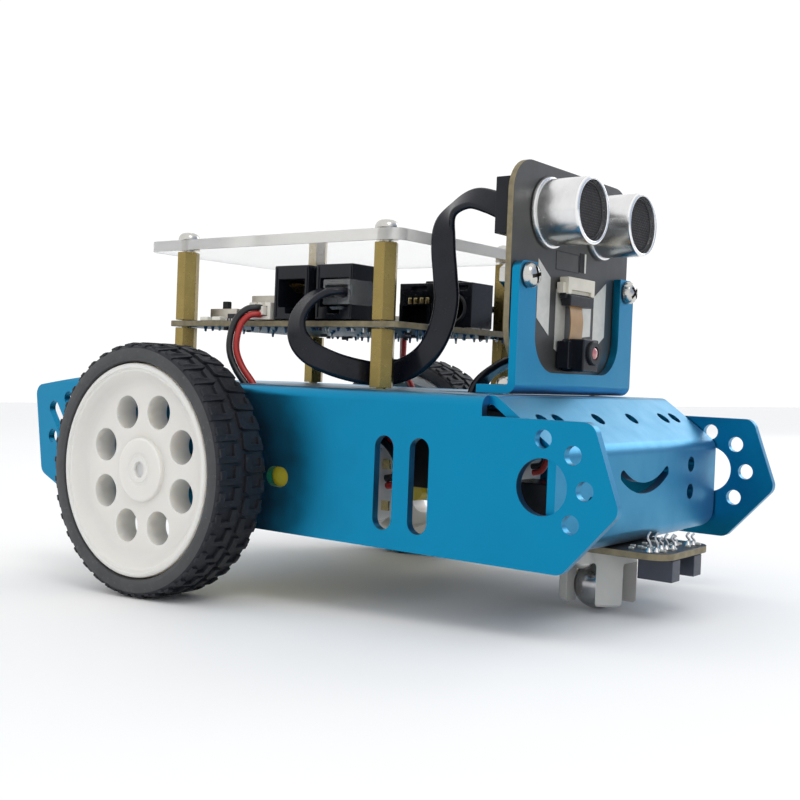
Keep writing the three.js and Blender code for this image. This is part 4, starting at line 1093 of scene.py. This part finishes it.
cover()
controller_board()
under_pins()
modular_socket("side_port_rear", "side_socket_rear", 16.6, 28.7)
modular_socket("side_port_front", "side_socket_front", 31.3, 43.5)
modular_socket("side_port_left", "side_socket_left", 31.3, 43.5, flip=True)
modular_plug("sensor_cable_plug", 37.4 + 2.2, False)
modular_plug("line_cable_plug", 37.4, True)
front_socket_piece()
power_jack_piece()
usb_piece()
small_parts()


# ---------------------------------------------------------------- wheels
def tread_blocks():
    """Two rows of hooked lugs, half a pitch apart, with a zigzag groove between them."""
    count, base = 38, 31.2
    pitch = 2 * math.pi / count
    shape = [(0.04, 0.05), (0.30, 0.05), (0.34, 0.6), (0.68, 0.6), (0.70, 2.0), (0.34, 2.1),
             (0.34, 4.9), (0.88, 5.1), (0.90, 6.9), (0.16, 7.1), (0.05, 6.0)]
    edge_gap, shoulder, shoulder_drop, sunk = 0.35, 2.2, 0.7, 0.02
    bm = bmesh.new()
    inner = TYRE_FACE_Y - TYRE_WIDTH
    for row in (0, 1):
        for i in range(count):
            low, high = [], []
            for s, w in shape:
                angle = (i + s + 0.5 * row) * pitch
                y = TYRE_FACE_Y - edge_gap - w if row else inner + edge_gap + w
                crown = TYRE_RADIUS - shoulder_drop * max(0, 1 - w / shoulder) ** 2 - sunk
                for ring, radius in ((low, base), (high, crown)):
                    ring.append(bm.verts.new((radius * math.cos(angle), y, radius * math.sin(angle))))
            bm.faces.new(low)
            bm.faces.new(high[::-1])
            for k in range(len(shape)):
                bm.faces.new((low[k - 1], low[k], high[k], high[k - 1]))
    bmesh.ops.recalc_face_normals(bm, faces=bm.faces)
    top = [e for e in bm.edges if all(math.hypot(v.co.x, v.co.z) > base + 0.5 for v in e.verts)]
    bmesh.ops.bevel(bm, geom=top, offset=0.16, segments=2, profile=0.5, affect="EDGES", clamp_overlap=True)
    return bm


def tyre_carcass():
    inner = TYRE_FACE_Y - TYRE_WIDTH
    seat = RIM_RADIUS + 0.3
    half = [(seat, 0.9), (seat + 0.3, 0.35), (seat + 0.9, 0.12), (28.9, 0.0), (30.0, 0.1), (30.9, 0.3),
            (31.4, 0.7),
            (31.6, 1.3), (31.62, 2.2), (31.6, 7.2)]
    near = [(r, inner + w) for r, w in half]
    far = [(r, TYRE_FACE_Y - w) for r, w in reversed(half)]
    carcass = lathe([*near, *far], axis=(0, 1, 0), segments=152, closed=True)
    faced(carcass, 1, lambda f: math.hypot(f.calc_center_median().x, f.calc_center_median().z) > 31.0)
    return carcass


def rim_solid():
    inner = TYRE_FACE_Y - TYRE_WIDTH + 0.5
    face = TYRE_FACE_Y - 0.3
    profile = [
        (0, 50), (6.8, 50), (7.6, 51.5), (HUB_RADIUS, 53.6), (23.2, 53.6), (23.8, 53), (24.2, inner + 0.5),
        (24.6, inner),
        (26.7, inner), (RIM_RADIUS, inner + 0.5), (RIM_RADIUS, face - 0.9), (27.0, face - 0.3), (26.5, face),
        (26.0, face), (25.7, face - 0.45), (25.1, face - 0.55), (24.6, face - 1.1), (23.6, 61.3),
        (22.6, 60.35),
        (21.6, 60.04), (20.8, 60), (8.9, 60), (8.35, 60.05), (8.15, 60.3), (8.1, 60.95), (7.85, 61.16),
        (7.4, 61.2),
        (4.4, 61.2), (4.2, 61.05),
        (3.4, 61.05), (3.2, 61.2), (2.5, 61.2), (0, 61.2)]
    wheel = lathe(profile, axis=(0, 1, 0), segments=120)
    tools = []
    for i in range(8):
        angle = (i + 0.5) * math.pi / 4
        tools.append(prism(circle(4.3, (15.8 * math.cos(angle), 15.8 * math.sin(angle)), 48), (50, 65), "y"))
    tools.append(rod(3.0, (0, 45, 0), (0, 59.6, 0), 32))
    tools.append(rod(2.1, (0, 60.2, 0), (0, 65, 0), 32))
    return softened(cut(wheel, *tools), 0.35, segments=3, angle=50)


def shaft_solid():
    teeth = 26
    ring = [8.1, 8.3, 9.1, 9.1, 8.3, 8.1]
    points = []
    for i in range(teeth * 6):
        angle = (i + 0.5) * 2 * math.pi / (teeth * 6)
        points.append((ring[i % 6] * math.cos(angle), ring[i % 6] * math.sin(angle)))
    gear = prism(points, (29, 32), "y")
    shaft = combine(rod(2.7, (0, 27.4, 0), (0, 59.2, 0), 40), block((-1.85, 1.85), (45, 60), (-3, 3)),
                    "INTERSECT")
    neck = rod(2.7, (0, 27.4, 0), (0, 46, 0), 40)
    return joined(softened(gear, 0.1, 1), softened(neck, 0.2), softened(shaft, 0.15))


def wheels():
    for side in ("right", "left"):
        body = f"wheel_{side}"
        flip = mirrored if side == "right" else (lambda bm: bm)
        place(f"tyre_carcass_{side}", flip(tyre_carcass()), [SIDEWALL, TREAD], "rubber", f"tyre_{side}", body,
              AXLE)
        place(f"tyre_tread_{side}", flip(tread_blocks()), TREAD, "rubber", body=body, into=AXLE)
        place(f"wheel_disc_{side}", flip(rim_solid()), MILKY, "white_plastic", f"rim_{side}", body, AXLE)
        place(f"gear_shaft_{side}", flip(shaft_solid()), MILKY, "white_plastic", f"output_shaft_{side}", body,
              AXLE)


wheels()


# ---------------------------------------------------------------- drive, battery, nose
def gearbox(side):
    inner, outer, z = 25.2, 43.7, TYRE_RADIUS
    half = 11.2
    shell = prism(rectangle((-11.2, 26.6), (z - half, z + half), 3, steps=8), (inner, outer), "y")
    neck = prism(rectangle((inner + 0.6, outer - 0.6), (z - half + 0.6, z + half - 0.6), 7, steps=8),
                 (20, 38), "x")
    seam = cut(prism(rectangle((-12, 27.4), (z - half - 1, z + half + 1), 3), (34.2, 34.6), "y"),
               prism(rectangle((-10.9, 26.3), (z - half + 0.3, z + half - 0.3), 3, steps=8), (33, 36), "y"))
    bolts = [rod(1.7, (20.2, 10, z + up), (20.2, 50, z + up), 24) for up in (-8.75, 8.75)]
    boss = rod(4.0, (0, outer - 1, z), (0, outer + 1.6, z), 36)
    whole = cut(combine(combine(shell, neck, "UNION"), boss, "UNION"), seam, *bolts,
                rod(3.0, (0, 35, z), (0, 50, z), 32))
    strap = joined(rounded_block((36, 38.4), (inner + 0.2, outer - 0.2), (z - 11.4, z - 10.4), 0.2),
                   rounded_block((36, 38.4), (inner + 0.2, outer - 0.2), (z + 10.4, z + 11.4), 0.2))
    solid = joined(softened(whole, 0.3), strap)
    place(f"gearbox_shell_{side}", mirrored(solid) if side == "right" else solid, YELLOW, "yellow_plastic",
          f"gearbox_{side}")


def motor(side):
    y, z = 43.7 - 9.2, TYRE_RADIUS
    flats = rectangle((y - 7.7, y + 7.7), (z - 12, z + 12))
    can = combine(rod(10, (38.3, y, z), (56, y, z), 64), prism(flats, (30, 70), "x"), "INTERSECT")
    cap = combine(rod(8.6, (55.8, y, z), (58, y, z), 48),
                  prism(rectangle((y - 6.8, y + 6.8), (z - 12, z + 12)),
                                                                (30, 70), "x"), "INTERSECT")
    tabs = [rounded_block((57.6, 60.2), (y - 0.3, y + 0.3), (z + dz - 1.2, z + dz + 1.2), 0.08) for dz in (-5,
                                                                                                           5)]
    solid, end, lugs = softened(can, 0.5, 3), softened(cap, 0.3), joined(*tabs)
    for part in (solid, end, lugs):
        if side == "right":
            mirrored(part)
    place(f"motor_shell_{side}", solid, CAN, "bright_aluminium", f"motor_{side}")
    place(f"motor_cap_{side}", end, MILKY, "white_plastic")
    place(f"motor_lugs_{side}", lugs, GOLD, "brass")


def battery():
    # The tray sits forward to x = 63 so that its black side fills the ear holes in the nose with painted
    # shade
    tray = cut(block((-13, 63), (-20.5, 20.5), (31, 50.5)), block((-11, 61), (-19, 19), (29, 48.8)),
               *[block((x, x + 9), (-25, 25), (36, 44)) for x in (0, 40)])
    place("battery_tray", softened(tray, 0.35), SATIN_BLACK, "black_plastic", "battery_holder")
    cells, ends, springs = [], [], []
    for y in (-8.9, 8.9):
        cells.append(lathe([(0, -8), (8.6, -8), (9.05, -7.6), (9.05, 54.4), (8.6, 54.9), (0, 54.9)],
                           (0, y, 39.2),
                           (1, 0, 0), 48))
        ends.append(lathe([(0, 54.8), (3.2, 54.8), (3.2, 56.9), (2.9, 57.3), (0, 57.3)], (0, y, 39.2),
                          (1, 0, 0), 32))
        coil = [(k, 1.5 + 1.5 * k / 36) for k in range(37)]
        line = [Vector((-8.1 - 2.6 * k / 36, y + r * math.cos(k * 0.6), 39.2 + r * math.sin(k * 0.6)))
                for k, r in coil]
        springs.append(swept(line, [Vector((1, 0, 0))] * len(line), circle(0.3, sides=6)))
    place("battery_cells", joined(*cells), WRAP, "battery_wrap", "battery_pack")
    place("battery_contacts", joined(*ends, *springs), STEEL, "bright_steel")


def caster():
    top, ledge = LINE_BOARD_TOP - PCB - 0.3, 16.4
    cup = lathe([(0, 6), (CASTER_RADIUS - 0.6, 6), (CASTER_RADIUS, 6.6), (CASTER_RADIUS, top), (0, top)],
                (BALL_X, 0, 0), segments=72)
    ears = [rod(3.4, (BALL_X, y, ledge), (BALL_X, y, top), 36) for y in (-CASTER_SCREW_Y, CASTER_SCREW_Y)]
    cup = combine(combine(cup, ears[0], "UNION"), ears[1], "UNION")
    arms = [moved(softened(block((-20, 20), (-3.8, 3.8), (2, ledge)), 0.8, 3),
                  Matrix.Translation((BALL_X, 0, 0)) @ Matrix.Rotation(math.radians(angle), 4, "Z"))
            for angle in (0, 90)]
    cavity = lathe([(0, -6.3), *[(6.3 * math.cos(a), 6.3 * math.sin(a)) for a in
                                 [math.radians(d) for d in range(-80, 81, 10)]], (0, 6.3)],
                   (BALL_X, 0, BALL_Z), segments=48)
    holes = [rod(1.7, (BALL_X, y, 2), (BALL_X, y, 25), 24) for y in (-CASTER_SCREW_Y, CASTER_SCREW_Y)]
    crossed = combine(arms[0], arms[1], "UNION")
    shell = cut(combine(cup, combine(crossed, cavity, "UNION"), "DIFFERENCE"), *holes)
    place("caster_cup", softened(shell, 0.3), NYLON, "grey_plastic", "caster_housing")
    reach, below = math.hypot(BALL_X, drop), math.atan2(drop, BALL_X) + LEAN
    centre = (reach * math.cos(below), 0, -reach * math.sin(below))
    arc = [(BALL_RADIUS * math.cos(math.radians(d)),
            BALL_RADIUS * math.sin(math.radians(d))) for d in range(-85, 86, 5)]
    ball = lathe([(0, -BALL_RADIUS), *arc, (0, BALL_RADIUS)], centre, (0, 0, 1), 72)
    place("caster_steel_ball", ball, BALL_STEEL, "bright_steel", "caster_ball", "caster_ball", AXLE, sharp=80)
    screws = []
    for y in (-CASTER_SCREW_Y, CASTER_SCREW_Y):
        screws.append(moved(screw_head(2.8, 1.6), aimed((BALL_X, y, ledge - 0.05), (0, 0, -1))))
        screws.append(rod(1.35, (BALL_X, y, ledge - 0.2), (BALL_X, y, 26.2), 20))
        screws.append(moved(hex_nut(), Matrix.Translation((BALL_X, y, LIP_Z + SHEET + 0.05))))
    place("caster_screws", joined(*screws), [STEEL, RECESS_SHADE], "bright_steel")


def line_sensor():
    low = LINE_BOARD_TOP - PCB
    half = LINE_BOARD_HALF_WIDTH
    shape = outline((75.2, -half, 2), (122.4, -half, 5), (122.4, half, 5), (75.2, half, 2))
    holes = [prism(circle(1.7, (BALL_X, y), 24), (15, 25), "z") for y in (-CASTER_SCREW_Y, CASTER_SCREW_Y)]
    board = softened(cut(prism(shape, (low, LINE_BOARD_TOP), "z"), *holes), 0.08, segments=1)
    faced(board, 1, lambda f: abs(f.normal.z) < 0.6)
    place("line_circuit_board", board, [MASK, LAMINATE], "circuit_board", "line_board")
    for side, y in (("right", -6.2), ("left", 6.2)):
        eye = cut(block((113.2, 121.8), (y - 2.2, y + 2.2), (14.3, low - 0.3)),
                  *[rod(1.1, (x, y, 13), (x, y, 15.4), 24) for x in (115.4, 119.6)])
        place(f"infrared_block_{side}", softened(eye, 0.2), INFRARED, "black_plastic", f"line_sensor_{side}")
    top = LINE_BOARD_TOP
    leads, blobs = [], []
    for x, y, height in ((117.0, -10.9, 4.6), (118.2, -9.5, 4.4), (118.0, -3.6, 3.6), (119.0, -2.2, 3.4),
                         (117.2, -4.6, 2.8),
                         (118.4, 8.0, 2.9), (119.2, 9.2, 2.6), (116.6, 4.6, 2.2)):
        line = spline([Vector((x, y, top - 0.2)), Vector((x + 0.3, y + 0.1, top + height * 0.35)),
                       Vector((x - 0.35, y - 0.15, top + height * 0.7)),
                       Vector((x + 0.1, y + 0.3, top + height))], 5)
        leads.append(swept(line, [Vector((0.3, 1, 0.1))] * len(line), circle(0.27, sides=8)))
        blobs.append(lathe([(0, 0), (1.0, 0), (0.7, 0.45), (0.35, 0.9), (0, 1.0)], (x, y, top), segments=16))
    place("line_leads", joined(*leads, *blobs), SOLDER, "tinned_steel")
    seeded = random.Random(5)
    bits = []
    for _ in range(26):
        x, y = seeded.uniform(111, 120.8), seeded.uniform(-12, 12)
        bits.append(block((x - 0.6, x + 0.6), (y - 0.35, y + 0.35), (top, top + 0.5)))
    place("line_passives", softened(joined(*bits), 0.08, 1), SILVER, "tinned_steel")
    z = top + 0.3
    mouth = combine(block((74, 86), (-5, 5), (z + 2.9, z + 9.7)),
                    block((74, 86), (-2, 2), (z + 1.2, z + 3.2)), "UNION")
    socket = cut(block((75.8, 89), (-6.4, 6.4), (z, z + 12)), mouth)
    place("line_port_shell", softened(socket, 0.3), BLACK, "black_plastic", "line_socket")
    plug = softened(block((74.6, 84), (-4.4, 4.4), (z + 3.4, z + 9.3)), 0.25)
    place("line_port_plug", plug, CLEAR_PLUG, "clear_acrylic")


for side in ("right", "left"):
    gearbox(side)
    motor(side)
battery()
caster()
line_sensor()


# ---------------------------------------------------------------- studio
def studio():
    floor_profile = [(0, 0), (1, 0), (8, 0), (40, 0)]
    bm = bmesh.new()
    segments = 96
    rings = [[bm.verts.new((r * math.cos(2 * math.pi * k / segments),
                            r * math.sin(2 * math.pi * k / segments), z))
              for k in range(segments)] for r, z in floor_profile[1:]]
    bm.faces.new(rings[0])
    for first, second in zip(rings, rings[1:]):
        for k in range(segments):
            bm.faces.new((first[k - 1], first[k], second[k], second[k - 1]))
    bmesh.ops.recalc_face_normals(bm, faces=bm.faces)
    mesh = bpy.data.meshes.new("studio_floor")
    bm.to_mesh(mesh)
    bm.free()
    mesh.shade_smooth()
    floor = bpy.data.objects.new("studio_floor", mesh)
    bpy.context.scene.collection.objects.link(floor)
    mesh.materials.append(surface("studio_paper", (0.9, 0.9, 0.9), 0.8, vary=0.004, patch=3, grain=300,
                                  strength=0.03))
    world = bpy.data.worlds.new("studio_light")
    world.use_nodes = True
    tree = world.node_tree
    sky = tree.nodes["Background"]
    sky.inputs["Strength"].default_value = 1.05
    place_in_sky = tree.nodes.new("ShaderNodeTexCoord")
    facing = tree.nodes.new("ShaderNodeVectorMath")
    facing.operation = "DOT_PRODUCT"
    facing.inputs[1].default_value = (0.87, 0.45, 0.0)
    shade = tree.nodes.new("ShaderNodeMapRange")
    shade.interpolation_type = "SMOOTHSTEP"
    shade.inputs["From Min"].default_value = 0.45
    shade.inputs["From Max"].default_value = 0.95
    tint = tree.nodes.new("ShaderNodeMix")
    tint.data_type = "RGBA"
    tint.inputs[6].default_value = (1, 1, 1, 1)
    tint.inputs[7].default_value = (0.42, 0.5, 0.66, 1)
    tree.links.new(place_in_sky.outputs["Generated"], facing.inputs[0])
    tree.links.new(facing.outputs["Value"], shade.inputs["Value"])
    tree.links.new(shade.outputs["Result"], tint.inputs["Factor"])
    tree.links.new(tint.outputs[2], sky.inputs["Color"])
    bpy.context.scene.world = world
    for name, spot, size, power in (("key_light", (0.9, -0.5, 1.2), 0.6, 3.5),
                                    ("back_light", (0.35, 1.4, 0.7), 0.8, 3.5)):
        data = bpy.data.lights.new(name, "AREA")
        data.shape = "DISK"
        data.size = size
        data.energy = power
        lamp = bpy.data.objects.new(name, data)
        bpy.context.scene.collection.objects.link(lamp)
        lamp.location = spot
        lamp.rotation_euler = (Vector((0, 0, 0.05)) - Vector(spot)).to_track_quat("-Z", "Y").to_euler()
    bpy.context.scene.view_settings.view_transform = "Standard"


studio()
